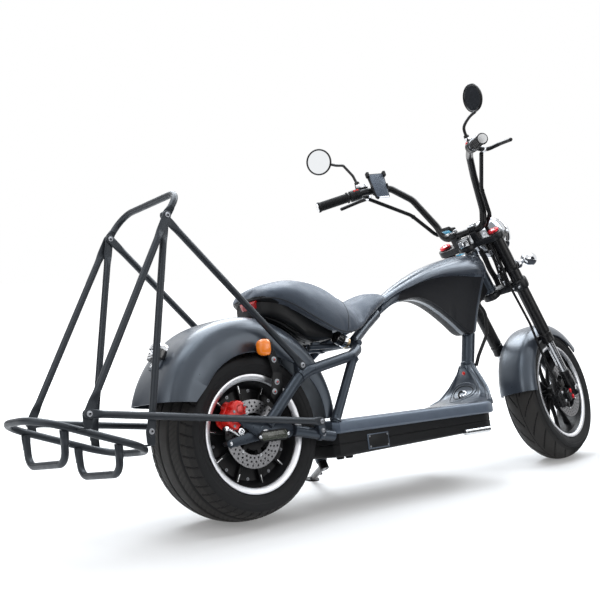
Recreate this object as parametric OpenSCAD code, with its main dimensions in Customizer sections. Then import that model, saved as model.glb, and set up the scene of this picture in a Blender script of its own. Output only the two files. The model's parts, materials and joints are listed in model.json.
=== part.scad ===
// Electric golf scooter: a low chopper frame on fat tyres with a golf-bag rack bolted behind it.
// Vehicle axes while modelling: x forward from the rear axle, y to the left, z up from the road.

/* [Stance] */
// Lean towards the side stand, in degrees
lean = 11; // [9:0.5:13]
// Bars turned to the left as parked, in degrees
bar_turn = 12; // [4:0.5:16]
// Distance between the axles
wheelbase = 1460; // [1430:5:1500]
// Height of the rear axle over the drawing's road line
rear_axle_z = 238.5; // [236:0.5:241]
// Height of the front axle over the drawing's road line
front_axle_z = 243; // [240:0.5:246]
// Rake of the fork from upright, in degrees
rake = 29; // [28:0.5:30]
// Fork line ahead of the steering axis
fork_offset = 40; // [37:1:44]

/* [Rear wheel] */
// Rear tyre radius at the crown
rear_tyre_r = 238.5; // [236:0.5:241]
// Rear tyre width
rear_tyre_w = 215; // [205:1:219]
// Radius of the rear tread across its width
rear_crown_r = 250; // [220:5:280]
// Height of the rear tyre's side wall
rear_wall = 72.5; // [67:0.5:80]
// Rear axle radius
rear_axle_r = 10; // [8:0.5:12]
// Rear brake disc radius
rear_disc_r = 95; // [85:1:100]
// Rear brake disc middle plane, to the right of the wheel's middle
rear_disc_y = 88; // [84:1:92]

/* [Front wheel] */
// Front tyre radius at the crown
front_tyre_r = 243; // [240:0.5:246]
// Front tyre width
front_tyre_w = 130; // [120:1:134]
// Radius of the front tread across its width
front_crown_r = 75; // [70:1:90]
// Height of the front tyre's side wall
front_wall = 69; // [63:1:75]
// Front axle radius
front_axle_r = 9; // [7:0.5:11]
// Front brake disc radius
front_disc_r = 100; // [85:1:110]
// Brake disc thickness
disc_t = 4; // [3:0.5:5]

/* [Frame] */
// Middle plane of the side tubes from the centre line
side_y = 138; // [136:0.5:142]
// Radius of the side tubes
side_tube_r = 15; // [13:0.5:15.5]
// Radius of the lower stays
stay_r = 16; // [14:0.5:17]
// Thickness of the axle plates
axle_plate_t = 10; // [8:1:12]
// Radius of the head tube
head_r = 28; // [24:1:30]
// Radius of the down tube
down_tube_r = 23; // [18:1:26]

/* [Seat] */
// Half width of the seat at its widest
seat_half = 147; // [130:1:152]
// Height of the seat's rear lump
seat_top = 675; // [668:1:685]

/* [Footboard] */
// Half width of the footboard
deck_half = 150; // [140:1:160]
// Height of the deck's edge
deck_z = 246; // [240:1:252]
// Thickness of the deck's moulding
deck_t = 38; // [32:1:44]
// Underside of the battery box
box_z = 140; // [132:1:150]
// Half width of the battery box
box_half = 132; // [120:1:138]

/* [Fenders] */
// Outer radius of the rear fender's crown
rear_fender_r = 298; // [292:1:302]
// Half width of the rear fender
rear_fender_half = 118; // [116:0.5:119.5]
// Gap from the front tyre to the outside of its fender's crown
front_fender_gap = 18; // [14:1:24]
// Half width of the front fender
front_fender_half = 72; // [70:0.5:75]
// Sheet thickness of the fenders
fender_t = 3; // [2:0.5:4]

/* [Rack] */
// Diameter of the rack's tubes
rack_d = 19; // [16:1:22]
// Half width between the rack's legs
rack_half = 155; // [150:1:162]
// Thickness of the tubes' flattened ends
rack_flat_t = 5; // [4:0.5:6]
// Height of the rack's top bolts
rack_top_z = 833; // [815:1:850]
// Half width of the bag ring
ring_half = 112; // [100:1:120]
// Length of the bag ring
ring_len = 340; // [320:2:352]

/* [Fork and bars] */
// Half distance between the fork legs
fork_half = 102; // [100:0.5:106]
// Radius of the fork's upper tubes
fork_tube_r = 22; // [20:0.5:22.5]
// Radius of the fork's sliders
slider_r = 15; // [13:0.5:17]
// Radius of the handlebar tube
bar_r = 12.5; // [11:0.5:13.5]
// Radius of the grips
grip_r = 17; // [16:0.5:19]
// Length of the grips
grip_len = 118; // [105:1:122]
// Radius of the mirrors
mirror_r = 48; // [40:1:52]
// Radius of the headlamp
lamp_r = 80; // [70:1:88]

/* [Side stand] */
// Radius of the stand's leg
stand_r = 10; // [8:0.5:12]

/* [Hidden] */
$fn = 48;
run_gap = 0.3;
seat_gap = 0.3;
matte_black = "#2b2e33";
charcoal = "#454a52";
frame_black = "#34383f";
rubber_black = "#1d1c1b";
silver = "#c9ccd0";
red = "#d8231f";

// Steering head: origin where the axis passes the front axle, z up along the axis
head_origin = [wheelbase - fork_offset * cos(rake), 0, front_axle_z - fork_offset * sin(rake)];
head_low = 470;
head_high = 634;
stem_r = 14;
yoke_t = 24;
low_yoke_s = head_low - 6 - yoke_t;
high_yoke_s = head_high + 6;
fork_top = high_yoke_s + yoke_t + 4;
slider_top = 205;
lug_top = 80;
rear_rim_r = rear_tyre_r - rear_wall;
front_rim_r = front_tyre_r - front_wall;
front_fender_r = front_tyre_r + front_fender_gap;

// Turning and parking as point transforms, the same as the modules below
function turn_z(p, a) = [p.x * cos(a) - p.y * sin(a), p.x * sin(a) + p.y * cos(a), p.z];
function from_head(p) = head_origin
  + [p.x * cos(rake) - p.z * sin(rake), p.y, p.x * sin(rake) + p.z * cos(rake)];
function to_head(p) = let (d = p - head_origin)
  [d.x * cos(rake) + d.z * sin(rake), d.y, -d.x * sin(rake) + d.z * cos(rake)];
function turned_point(p) = from_head(turn_z(to_head(p), bar_turn));
function leaned(p) = [p.x, p.y * cos(lean) + p.z * sin(lean), -p.y * sin(lean) + p.z * cos(lean)];

// Lowest point of a tyre with a round crown: its middle, its axle direction, radius and crown radius
function tyre_low(c, n, r, crown) = c.z - (r - crown) * sqrt(1 - n.z * n.z) - crown;
front_middle = leaned(turned_point([wheelbase, 0, front_axle_z]));
front_side = leaned(turned_point([wheelbase, 1, front_axle_z])) - front_middle;
rear_middle = leaned([0, 0, rear_axle_z]);
rear_side = leaned([0, 1, rear_axle_z]) - rear_middle;
front_low = tyre_low(front_middle, front_side, front_tyre_r, front_crown_r);
rear_low = tyre_low(rear_middle, rear_side, rear_tyre_r, rear_crown_r);
pitch = asin((front_low - rear_low) / front_middle.x);

// Hard points of the rack, on its right and left planes
rack_a = [-253, rack_top_z];
rack_b = [-535, 337];
rack_c = [-361, 278];
clamp_at = [156, 414];
strut_foot = [186, 250];
ring_tilt = 19;
ring_middle = [-487, 284];
ring_rear_x = ring_middle.x - ring_len / 2 * cos(ring_tilt) - rack_d / 2;
u_bar_top = [-200, 903];

// Handlebar: half of its path, and the straight end that carries grip, perch and mirror
bar_end = [741, 341, 1028];
bar_inner = [866, 230, 1058];
drawn_base = 1460;
bar_shift = wheelbase - drawn_base;
bar_path = [[1110, 0, 850, 0], [1110, 82, 850, 30], [1104, 98, 905, 50], [1030, 132, 1014, 60],
  [960, 170, 1064, 45], concat(bar_inner + 0.05 * (bar_inner - bar_end), [60]), concat(bar_end, [0])];
bar_dir = (bar_end - bar_inner) / norm(bar_end - bar_inner);

// Middle of the parked object's box along x and y
box_front = front_middle.x + front_tyre_r;
middle_x = (box_front + ring_rear_x) / 2;
mirror_at = [[805, 345, 1210], [860, -285, 1212]];
left_reach = leaned(turned_point(mirror_at[0] + [bar_shift, mirror_r, 0])).y;
right_reach = leaned(turned_point([bar_end.x + bar_shift, -bar_end.y - 0.9 * grip_r, bar_end.z])).y;
middle_y = (left_reach + right_reach) / 2;

module parked() translate([-middle_x, -middle_y, -rear_low]) rotate([0, pitch, 0]) rotate([-lean, 0, 0])
  children();
module at_head() translate(head_origin) rotate([0, -rake, 0]) children();
module on_fork() parked() at_head() rotate([0, 0, bar_turn]) children();
module turned() on_fork() rotate([0, rake, 0]) translate([bar_shift, 0, 0] - head_origin) children();
module both() {
  children();
  mirror([0, 1, 0]) children();
}
module rear_hub() parked() translate([0, 0, rear_axle_z]) children();
module around_y() rotate([90, 0, 0]) children();

// Points along an arc in a plane, from angle a to angle b
function arc2(c, r, a, b, n) = [for (i = [0:n]) c + r * [cos(a + (b - a) * i / n), sin(a + (b - a) * i / n)]];

// Vectors, and a path with its corners rounded: each point is [x, y, z, corner radius]
function xyz(p) = [p.x, p.y, p.z];
function unit(v) = v / norm(v);
function corner(a, p, b, r, n) = let (u = unit(p - a), v = unit(b - p), t = acos(u * v),
  s = p - u * r * tan(t / 2), c = p + unit(v - u) * r / cos(t / 2))
  [for (i = [0:n]) c + (s - c) * cos(t * i / n) + u * r * sin(t * i / n)];
function rounded(p, n = 4) = [for (i = [0:len(p) - 1]) each
  (i == 0 || i == len(p) - 1 || p[i][3] == 0) ? [xyz(p[i])]
    : corner(xyz(p[i - 1]), xyz(p[i]), xyz(p[i + 1]), p[i][3], n)];
function heading(p, i) = unit(p[min(i + 1, len(p) - 1)] - p[max(i - 1, 0)]);

// A closed skin over rings of points, each ring turning left as seen from the far end
module skin(rings) {
  n = len(rings[0]);
  m = len(rings);
  function sum(r, i = 0) = i == len(r) - 1 ? r[i] : r[i] + sum(r, i + 1);
  points = concat([for (r = rings) each r], [sum(rings[0]) / n, sum(rings[m - 1]) / n]);
  sides = [for (i = [0:m - 2], j = [0:n - 1]) let (a = i * n + j, b = i * n + (j + 1) % n)
    each [[a, a + n, b + n], [a, b + n, b]]];
  last = n * (m - 1);
  caps = [for (j = [0:n - 1]) each [[n * m, j, (j + 1) % n], [n * m + 1, last + (j + 1) % n, last + j]]];
  polyhedron(points, concat(sides, caps));
}

// A round tube swept along points, its rings set out from a side direction
function tube_ring(at, t, r, side, n) = let (e = unit(cross(side, t)), f = cross(t, e))
  [for (k = [0:n - 1]) at + r * (cos(360 * k / n) * e + sin(360 * k / n) * f)];
module sweep(p, r, side, n = 12) skin([for (i = [0:len(p) - 1]) tube_ring(p[i], heading(p, i), r, side, n)]);
// A ring from its right half, listed from the bottom middle to the top middle
function whole(half) = concat(half, [for (i = [len(half) - 2:-1:1]) [half[i].x, -half[i].y, half[i].z]]);

// A straight round bar between two points
module rod(a, b, r) {
  d = b - a;
  translate(a) rotate([0, acos(d.z / norm(d)), atan2(d.y, d.x)]) cylinder(r = r, h = norm(d));
}
module ring_of(r_out, r_in, w) difference() {
  cylinder(r = r_out, h = w, center = true);
  cylinder(r = r_in, h = w + 1, center = true);
}
// A plate lying in x and z, from y to y + t
module side_plate(y, t) translate([0, y + t, 0]) rotate([90, 0, 0]) linear_extrude(t) children();
// A strap outline between two points with round ends
module strap(a, b, r) {
  t = atan2(b.y - a.y, b.x - a.x);
  polygon(concat(arc2(a, r, t + 90, t + 270, 8), arc2(b, r, t - 90, t + 90, 8)));
}

// Frame
module head_tube() color(frame_black) parked() at_head() translate([0, 0, head_low]) difference() {
  cylinder(r = head_r, h = head_high - head_low);
  translate([0, 0, -1]) cylinder(r = stem_r + run_gap, h = head_high - head_low + 2);
}

// Backbone stations behind the front axle: top, crease and rim, each as distance back and height
// columns: top back, top z, crease back, crease z, crease half width, rim back, rim z, rim half width
backbone_rows = [
  [818, 626, 826, 604, 26, 856, 562, 24],
  [770, 652, 770, 634, 36, 800, 592, 28],
  [717, 678, 715, 652, 44, 740, 606, 30],
  [664, 700, 660, 671, 52, 680, 610, 30],
  [610, 720, 600, 686, 58, 620, 595, 30],
  [545, 739, 530, 697, 64, 560, 564, 30],
  [474, 755, 460, 701, 70, 500, 523, 30],
  [404, 766, 398, 702, 72, 450, 486, 30],
  [338, 768, 338, 704, 60, 412, 484, 28]
];
spine_rear = 604;
spine_front = 338;
spine_stretch = (wheelbase - spine_front - spine_rear) / (drawn_base - spine_front - spine_rear);
function spine_x(back) = spine_rear + (drawn_base - back - spine_rear) * spine_stretch;
function backbone_half(r) = let (w = r[4], t = [r[0], r[1]], c = [r[2], r[3]], b = [r[5], r[6]],
  at = function (p, y) [spine_x(p.x), y, p.y])
  [at(b, 0), at(b, r[7]), at(c * 0.45 + b * 0.55, max(w * 0.62, r[7])), at(c - [0, 8], w * 0.86), at(c, w),
   at(c * 0.6 + t * 0.4, w * 0.93), at(c * 0.22 + t * 0.78, w * 0.66), at(c * 0.04 + t * 0.96, w * 0.3),
   at(t, 0)];
module backbone() color(charcoal) parked() difference() {
  skin([for (r = backbone_rows) whole(backbone_half(r))]);
  at_head() cylinder(r = head_r + seat_gap, h = 900);
}

down_top = [wheelbase - 403, 0, 510];
down_foot = [wheelbase - 442, 0, 352];
collar_z = deck_z + 125;
module down_tube() color(frame_black) parked() intersection() {
  rod(down_foot, down_top, down_tube_r);
  translate([0, -100, collar_z]) cube([wheelbase, 200, backbone_rows[8][6] - collar_z]);
}

plate_tip = [30, 274];
plate_tip_r = 16;
loop_bend = [145, 382];
loop_dir = unit(loop_bend - plate_tip);
loop_start = plate_tip + loop_dir * (plate_tip_r + seat_gap);
loop_path = [[loop_start.x, side_y, loop_start.y, 0], [loop_bend.x, side_y, loop_bend.y, 60],
  [186, side_y, 398, 60], [362, side_y - 8, 431, 30], [408, side_y - 20, 450, 28],
  [430, side_y - 36, 482, 30], [505, 80, 522, 80],
  [spine_rear - 8, 17, 566, 0]];
module loop_room() both() sweep(rounded(loop_path), side_tube_r + seat_gap, [0, 1, 0]);
module frame_loops() color(frame_black) parked() both() sweep(rounded(loop_path), side_tube_r, [0, 1, 0]);

seat_tube_top = [372, side_y - 6, 434];
seat_tube_foot = [234, side_y - 4, 190];
module seat_tubes() color(frame_black) parked() difference() {
  both() rod(seat_tube_foot, seat_tube_top, side_tube_r - 1);
  loop_room();
  translate([0, -500, deck_z - 100]) cube([1000, 1000, 100]);
}

stay_lug = [190, 222];
stay_front = [246, side_y, 204];
stay_rear = [103, side_y, 234.5];
module lower_stays() color(matte_black) parked() both() {
  rod(stay_rear, stay_front, stay_r);
  side_plate(side_y, lane(3) - side_y) strap(stay_lug, strut_foot, strap_r);
}

plate_y = side_y - axle_plate_t / 2;
arm_tip = [-62, 278];
module axle_plates() color(matte_black) parked() difference() {
  union() {
    both() side_plate(plate_y, axle_plate_t) {
      strap([0, rear_axle_z], [78, rear_axle_z], 24);
      strap([0, rear_axle_z + 6], plate_tip, plate_tip_r);
    }
    side_plate(-plate_y - axle_plate_t, axle_plate_t) strap([0, rear_axle_z], arm_tip, 18);
  }
  translate([0, 0, rear_axle_z]) around_y() cylinder(r = rear_axle_r, h = 1000, center = true);
}

spacer_from = rear_disc_y + disc_t / 2 + 5;
module rear_axle() color(silver) rear_hub() around_y() {
  cylinder(r = rear_axle_r - 0.05, h = 2 * (plate_y + axle_plate_t), center = true);
  for (s = [1, -1]) translate([0, 0, s * (spacer_from + plate_y) / 2])
    cylinder(r = rear_axle_r + 5, h = plate_y - spacer_from, center = true);
}

// Seat stations: distance ahead of the rear axle, top, lower edge, underside, share of the half width
seat_rows = [
  [88, -53, 618, 617, 0.26], [98, -41, 614, 612, 0.58], [120, -27, 610, 606, 0.77],
  [150, -14, 599, 597, 0.885], [190, -3, 573, 583, 0.96], [230, 0, 545, 562, 0.99],
  [280, -6, 515, 537, 1], [333, -23, 495, 516, 0.95],
  [391, -53, 494, 511, 0.87], [446, -74, 514, 528, 0.75], [500, -61, 548, 560, 0.64],
  [563, -40, 584, 597, 0.53], [605, -39, 602, 611, 0.41], [632, -51, 611, 614, 0.23]
];
function seat_half_ring(r) = let (x = r[0], t = seat_top + r[1], e = r[2], u = r[3], w = seat_half * r[4],
  h = t - e)
  [[x, 0, u], [x, w * 0.74, u], [x, w * 0.9, e], [x, w * 0.985, e + h * 0.1], [x, w, e + h * 0.3],
   [x, w * 0.9, e + h * 0.62], [x, w * 0.68, e + h * 0.86], [x, w * 0.36, e + h * 0.97], [x, 0, t]];
module seat_pad() color(charcoal) parked() skin([for (r = seat_rows) whole(seat_half_ring(r))]);

// Seat pan stations: seat station above, underside, half width
pan_rows = [[1, 566, 58], [2, 560, 84], [3, 546, 96], [4, 524, 100], [5, 494, 102], [6, 484, 100],
  [7, 486, 94]];
module seat_pan() color(matte_black) parked() skin([for (r = pan_rows) let (x = seat_rows[r[0]][0], w = r[2],
  low = r[1], top = seat_rows[r[0]][3] - seat_gap)
  whole([[x, 0, low], [x, w * 0.8, low], [x, w, low + 10], [x, w, top], [x, 0, top]])]);

module tail_lamp() color(red) parked() translate([90, -36, 591]) cube([8, 72, 20]);

arm_y = 62;
cross_at = [414, 470];
cross_r = 9.5;
module seat_arms() color(matte_black) parked() difference() {
  union() {
    both() rod([258, arm_y, cross_at.y], [cross_at.x, arm_y, cross_at.y], cross_r - 1);
    both() translate([270, arm_y - 6, cross_at.y]) cube([30, 12, 484 - cross_at.y]);
    rod([cross_at.x, -side_y, cross_at.y], [cross_at.x, side_y, cross_at.y], cross_r);
  }
  loop_room();
}

shock_y = 88;
shock_top = [352, 497];
shock_dir = unit(shock_top - cross_at);
shock_foot = cross_at + shock_dir * (cross_r + seat_gap);
module seat_shocks() color(silver) parked() both()
  rod([shock_top.x, shock_y, shock_top.y], [shock_foot.x, shock_y, shock_foot.y], 16);

// Footboard and what hangs under it
deck_rear = 250;
deck_front = wheelbase - 450;
deck_round = 100;
module deck_outline(half, rear, front, r) union() {
  translate([rear, -half]) square([front - r - rear, 2 * half]);
  translate([rear, r - half]) square([front - rear, 2 * (half - r)]);
  for (s = [1, -1]) translate([front - r, s * (half - r)]) circle(r, $fn = 96);
}
module footboard() color(charcoal) parked() translate([0, 0, deck_z - deck_t]) linear_extrude(deck_t)
  deck_outline(deck_half, deck_rear, deck_front, deck_round);

// Nose stations: height, rear x back from the front axle, front x back, half width
nose_rows = [[deck_z + seat_gap, 600, 452, 148], [deck_z + 14, 558, 444, 132], [deck_z + 36, 512, 430, 100],
  [deck_z + 66, 484, 418, 74], [deck_z + 100, 470, 411, 46], [collar_z, 468, 412, 29]];
function nose_ring(r) = let (xr = wheelbase - r[1], xf = wheelbase - r[2], m = (xr + xf) / 2,
  a = (xf - xr) / 2)
  [for (k = [0:19]) let (c = cos(18 * k), s = sin(18 * k))
    [m + a * sign(c) * pow(abs(c), 0.75), r[3] * sign(s) * pow(abs(s), 0.75), r[0]]];
module nose_cover() color(charcoal) parked() skin([for (r = nose_rows) nose_ring(r)]);

module battery_box() color(matte_black) parked() translate([0, 0, box_z])
  linear_extrude(deck_z - deck_t - box_z)
  deck_outline(box_half, deck_rear + 8, deck_front - 14, deck_round + box_half - deck_half);

rail_x = wheelbase - 658;
rail_len = 120;
module side_rails() color(silver) parked() both() {
  rod([rail_x, box_half + 10, 156], [rail_x + rail_len, box_half + 10, 156], 7);
  for (x = [rail_x + 18, rail_x + rail_len - 18]) translate([x, box_half, 150]) cube([10, 4, 12]);
}

// Rear fender and what it carries
function fender_line(r, half, edge, c) = concat([[edge, -half]], arc2([r - c, -half + c], c, -90, 0, 6),
  arc2([r - c, half - c], c, 0, 90, 6), [[edge, half]]);
module fender_section(r, half, t, edge, c) {
  outer = fender_line(r, half, edge, c);
  inner = fender_line(r - t, half - t, edge, c - t);
  polygon(concat(outer, [for (i = [len(inner) - 1:-1:0]) inner[i]]));
}
fender_cut_z = 336;
// the rear fender is set a little ahead of and above the axle
fender_at = [4, 0, rear_axle_z + 32];
module rear_fender() color(charcoal) parked() difference() {
  translate(fender_at) around_y() rotate(-3) rotate_extrude(angle = 179)
    fender_section(rear_fender_r, rear_fender_half, fender_t, rear_fender_r - 104, 60);
  translate([-500, -200, 0]) cube([500, 400, fender_cut_z]);
}

bracket_t = 4;
bracket_foot = [80, 321];
bracket_bend = [84, 400];
module fender_brackets() color(matte_black) parked() both() {
  side_plate(rear_fender_half + seat_gap, bracket_t) {
    strap([70, 452], bracket_bend, 15);
    strap(bracket_bend, bracket_foot, 12);
  }
  translate([bracket_foot.x, rear_fender_half + seat_gap, bracket_foot.y]) rotate([-90, 0, 0])
    cylinder(r = 10, h = side_y - side_tube_r - rear_fender_half - 2 * seat_gap);
}

module rear_signals() color("orange") parked() both() translate([20, rear_fender_half + 0.2, 470])
  rotate([-90, 0, 0]) {
  cylinder(r = 7, h = 22);
  translate([0, 0, 22]) cylinder(r = 22, h = 34);
}

plate_lamp_turn = 134;
module plate_lamp() color(silver) parked() translate(fender_at) rotate([0, -plate_lamp_turn, 0])
  translate([rear_fender_r + 0.3, -34, -22]) cube([30, 68, 44]);

caliper_at = [-78, 296];
caliper_w = 61;
module rear_caliper() color(red) parked() difference() {
  side_plate(-plate_y, caliper_w) translate(caliper_at) rotate(54) translate([-39, -24]) square([78, 48]);
  translate([0, -rear_disc_y, rear_axle_z]) around_y()
    cylinder(r = rear_disc_r + 8, h = disc_t + 8, center = true);
}

module side_reflectors() color("dimgray") parked() both()
  side_plate(plate_y + axle_plate_t, 6)
    polygon([[-32, 228], [-14, 244], [68, 244], [86, 229], [68, 213], [-14, 213]]);

// Golf-bag rack: each tube ends in flat bolted straps that lie side by side at a bolt
strap_r = 12;
function lane(i) = rack_half + (i - 1.5) * rack_flat_t;
module rack_tube(a, b, i, flat_a, flat_b) {
  d = (b - a) / norm(b - a);
  p = a + d * flat_a;
  q = b - d * flat_b;
  y = lane(i) + rack_flat_t / 2;
  rod([p.x, y, p.y], [q.x, y, q.y], rack_d / 2);
  side_plate(lane(i), rack_flat_t) {
    strap(a, p, strap_r);
    strap(q, b, strap_r);
  }
}
module rack_rear_legs() color(matte_black) parked() both() rack_tube(rack_b, rack_a, 2, 62, 78);
module rack_front_legs() color(matte_black) parked() both() rack_tube(rack_c, rack_a, 0, 56, 78);
module rack_upper_struts() color(matte_black) parked() both() rack_tube(clamp_at, rack_a, -1, 44, 60);
module rack_lower_struts() color(matte_black) parked() both() rack_tube(rack_b, strut_foot, 3, 40, 40);

u_bar_path = [[rack_a.x + 16, rack_half, rack_a.y + 20, 0], [u_bar_top.x, rack_half - 4, u_bar_top.y, 55],
  [u_bar_top.x, -rack_half + 4, u_bar_top.y, 55], [rack_a.x + 16, -rack_half, rack_a.y + 20, 0]];
module rack_top_bar() color(matte_black) parked() {
  sweep(rounded(u_bar_path, 6), rack_d / 2, [1, 0, -0.6]);
  both() side_plate(lane(1), rack_flat_t) strap(rack_a, rack_a + [14, 18], strap_r);
}

// Bag ring with its two hanging loops, and the ears that bolt to the legs
ring_corner = 85;
function ring_z(x) = ring_middle.y - (x - ring_middle.x) * tan(ring_tilt);
ring_path = [for (c = [[1, 1], [-1, 1], [-1, -1], [1, -1]]) [c.x * ring_len / 2, c.y * ring_half, 0]];
// Hanging loops: distance ahead of the rear axle, height of the bottom
loop_rows = [[-575, 226], [-432, 183]];
loop_half = ring_half - 6;
ear_drop = 24;
// Ears: bolt, lane
ear_rows = [[rack_b, 1], [rack_c, -1]];
module rack_ring() color(matte_black) parked() translate([ring_middle.x, 0, ring_middle.y])
  rotate([0, ring_tilt, 0]) closed_sweep([for (i = [0:3])
    each corner(ring_path[(i + 3) % 4], ring_path[i], ring_path[(i + 1) % 4], ring_corner, 6)],
    rack_d / 2, [0, 0, 1]);
module rack_loops() color(matte_black) parked() for (r = loop_rows) let (top = ring_z(r[0]) - rack_d * 0.665)
  sweep(rounded([[r[0], loop_half, top, 0], [r[0], loop_half - 4, r[1], 34],
    [r[0], -loop_half + 4, r[1], 34], [r[0], -loop_half, top, 0]]), rack_d / 2, [1, 0, 0]);
module rack_ears() color(matte_black) parked() both()
  for (e = ear_rows) let (b = e[0], y = lane(e[1]), from = ring_half + rack_d / 2 + seat_gap) {
    side_plate(y, rack_flat_t) strap(b, b - [0, ear_drop], strap_r);
    translate([b.x - strap_r, from, b.y - ear_drop - strap_r]) cube([2 * strap_r, y - from + 1, rack_flat_t]);
  }
module closed_sweep(p, r, side, n = 12) {
  m = len(p);
  rings = [for (i = [0:m - 1]) each tube_ring(p[i], unit(p[(i + 1) % m] - p[(i + m - 1) % m]), r, side, n)];
  polyhedron(rings, [for (i = [0:m - 1], j = [0:n - 1]) let (a = i * n + j, b = i * n + (j + 1) % n,
    c = ((i + 1) % m) * n + j, d = ((i + 1) % m) * n + (j + 1) % n) each [[a, c, d], [a, d, b]]]);
}

// Clamps that hold the rack's upper struts on the side tubes
clamp_in = side_tube_r + 4;
module rack_clamps() color(matte_black) parked() both() difference() {
  translate([clamp_at.x - 14, side_y - clamp_in, clamp_at.y - 26])
    cube([28, lane(-1) - side_y + clamp_in, 38]);
  loop_room();
}

harness_path = [[wheelbase - 369.7, -16, 606, 0], [wheelbase - 337, -30, 556, 50],
  [wheelbase - 352, -36, 480, 80], [wheelbase - 412, -34, 404, 50],
  [wheelbase - 426, -30, collar_z + 0.6, 0]];
module harness() color(rubber_black) parked() sweep(rounded(harness_path), 6, [0, 1, 0], 8);

// Side stand: hinged under the battery box, its foot flat on the road
stand_pivot = [400, 108, 122];
stand_foot = [511, 305];
stand_axis = unit([0.041, 0.408, 0.911]);
stand_pin_r = 6;
stand_eye_r = 15;
stand_eye_h = 26;
function parked_point(p) = let (q = leaned(p))
  [q.x * cos(pitch) + q.z * sin(pitch), q.y, -q.x * sin(pitch) + q.z * cos(pitch) - rear_low];
module along(at, d) translate(at) rotate([0, acos(d.z / norm(d)), atan2(d.y, d.x)]) children();
module stand_bracket() color(matte_black) parked() difference() {
  along(stand_pivot, stand_axis) {
    cylinder(r = stand_eye_r + 3, h = 60);
    translate([0, 0, -stand_eye_h]) cylinder(r = stand_pin_r, h = stand_eye_h + 5);
  }
  translate([stand_pivot.x - 100, stand_pivot.y - 100, box_z]) cube(200);
}
module side_stand() color(matte_black) translate([-middle_x, -middle_y, 0]) {
  eye = parked_point(stand_pivot);
  up = parked_point(stand_pivot + stand_axis) - eye;
  heel = [stand_foot.x, stand_foot.y, 5];
  difference() {
    union() {
      along(eye - up * stand_eye_h, up) cylinder(r = stand_eye_r, h = stand_eye_h - run_gap);
      rod(eye - up * (stand_eye_h / 2 + 1), heel, stand_r);
      translate([stand_foot.x, stand_foot.y, 0]) cylinder(r = 24, h = 8);
    }
    along(eye - up * 40, up) cylinder(r = stand_pin_r + run_gap, h = 80);
    translate([stand_foot.x - 60, stand_foot.y - 60, -50]) cube([120, 120, 50]);
  }
}

// Wheels: tyres are open towards the rim, their crowns round across the width
function arc_y(r, crown, y) = r - crown + sqrt(crown * crown - y * y);
module tyre_section(r, crown, w, rim, wall) polygon(concat(
  [for (k = [-4:4]) let (y = k * w * 0.1) [arc_y(r, crown, y), y]],
  [[r * 0.845, w / 2], [rim + 12, w * 0.485], [rim, w * 0.44], [rim, w * 0.44 - wall],
   [rim + 16, w * 0.44 - wall], [r * 0.84, w / 2 - wall], [r - wall * 1.7, w * 0.34],
   [r - wall * 1.7, -w * 0.34], [r * 0.84, -w / 2 + wall], [rim + 16, -w * 0.44 + wall],
   [rim, -w * 0.44 + wall], [rim, -w * 0.44], [rim + 12, -w * 0.485], [r * 0.845, -w / 2]]));
module rear_tyre() color(rubber_black) rear_hub() around_y() rotate_extrude($fn = 96)
  tyre_section(rear_tyre_r, rear_crown_r, rear_tyre_w, rear_rim_r, 13);
module rear_wheel_hub() color(frame_black) rear_hub() around_y() rotate_extrude($fn = 96) {
  lip = rear_tyre_w * 0.44 + 4;
  seat = rear_rim_r - seat_gap;
  face = rear_disc_y - disc_t / 2;
  polygon([[rear_axle_r + run_gap, -face], [rear_axle_r + run_gap, face], [46, face], [46, 66],
    [seat - 38, 58], [seat - 20, lip - 12], [seat - 20, lip], [seat, lip], [seat, -lip],
    [seat - 20, -lip], [seat - 20, -lip + 12],
    [seat - 38, -58], [46, -66], [46, -face]]);
}
module rear_disc() color(silver) rear_hub() translate([0, -rear_disc_y, 0]) around_y()
  ring_of(rear_disc_r, rear_axle_r + 12, disc_t);

module front_hub() on_fork() translate([fork_offset, 0, 0]) children();
front_disc_y = 74;
module front_tyre() color(rubber_black) front_hub() around_y() rotate_extrude($fn = 96)
  tyre_section(front_tyre_r, front_crown_r, front_tyre_w, front_rim_r, 10);
spokes = 10;
module front_wheel_rim() color(frame_black) front_hub() around_y() difference() {
  union() {
    rotate_extrude($fn = 96) {
      lip = front_tyre_w * 0.44 + 3;
      seat = front_rim_r - seat_gap;
      polygon([[seat - 14, -lip], [seat, -lip], [seat, lip], [seat - 14, lip], [seat - 22, lip - 16],
        [seat - 22, -lip + 16]]);
    }
    translate([0, 0, -52]) cylinder(r = 34, h = 52 + front_disc_y - disc_t / 2);
    for (i = [0:spokes - 1]) rotate(360 / spokes * i) translate([30, -7, -20])
      cube([front_rim_r - 48, 14, 40]);
  }
  cylinder(r = front_axle_r + run_gap, h = 300, center = true);
}
module front_disc() color(silver) front_hub() translate([0, -front_disc_y, 0]) around_y()
  ring_of(front_disc_r, front_axle_r + 8, disc_t);

// Fork: x ahead of the steering axis, z up along it
module yoke_plate() difference() {
  union() {
    strap([fork_offset, -fork_half], [fork_offset, fork_half], 30);
    circle(30);
    translate([0, -30]) square([fork_offset, 60]);
  }
  for (s = [1, -1]) translate([fork_offset, s * fork_half]) circle(fork_tube_r + 0.1);
}
bar_mid = to_head([1110 + bar_shift, 0, 850]);
module yokes() color(matte_black) on_fork() {
  difference() {
    union() {
      for (s = [low_yoke_s, high_yoke_s]) translate([0, 0, s]) linear_extrude(yoke_t) yoke_plate();
      translate([0, 0, low_yoke_s + 1]) cylinder(r = stem_r, h = high_yoke_s - low_yoke_s);
      both() translate([bar_mid.x - 17, 26, high_yoke_s + yoke_t - 1])
        cube([34, 28, bar_mid.z + 20 - high_yoke_s - yoke_t]);
    }
    translate([bar_mid.x, 0, bar_mid.z]) around_y() cylinder(r = bar_r + seat_gap, h = 200, center = true);
  }
}
module fork_tubes() color(matte_black) on_fork() both() translate([fork_offset, fork_half, slider_top])
  cylinder(r = fork_tube_r, h = fork_top - slider_top);
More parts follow.
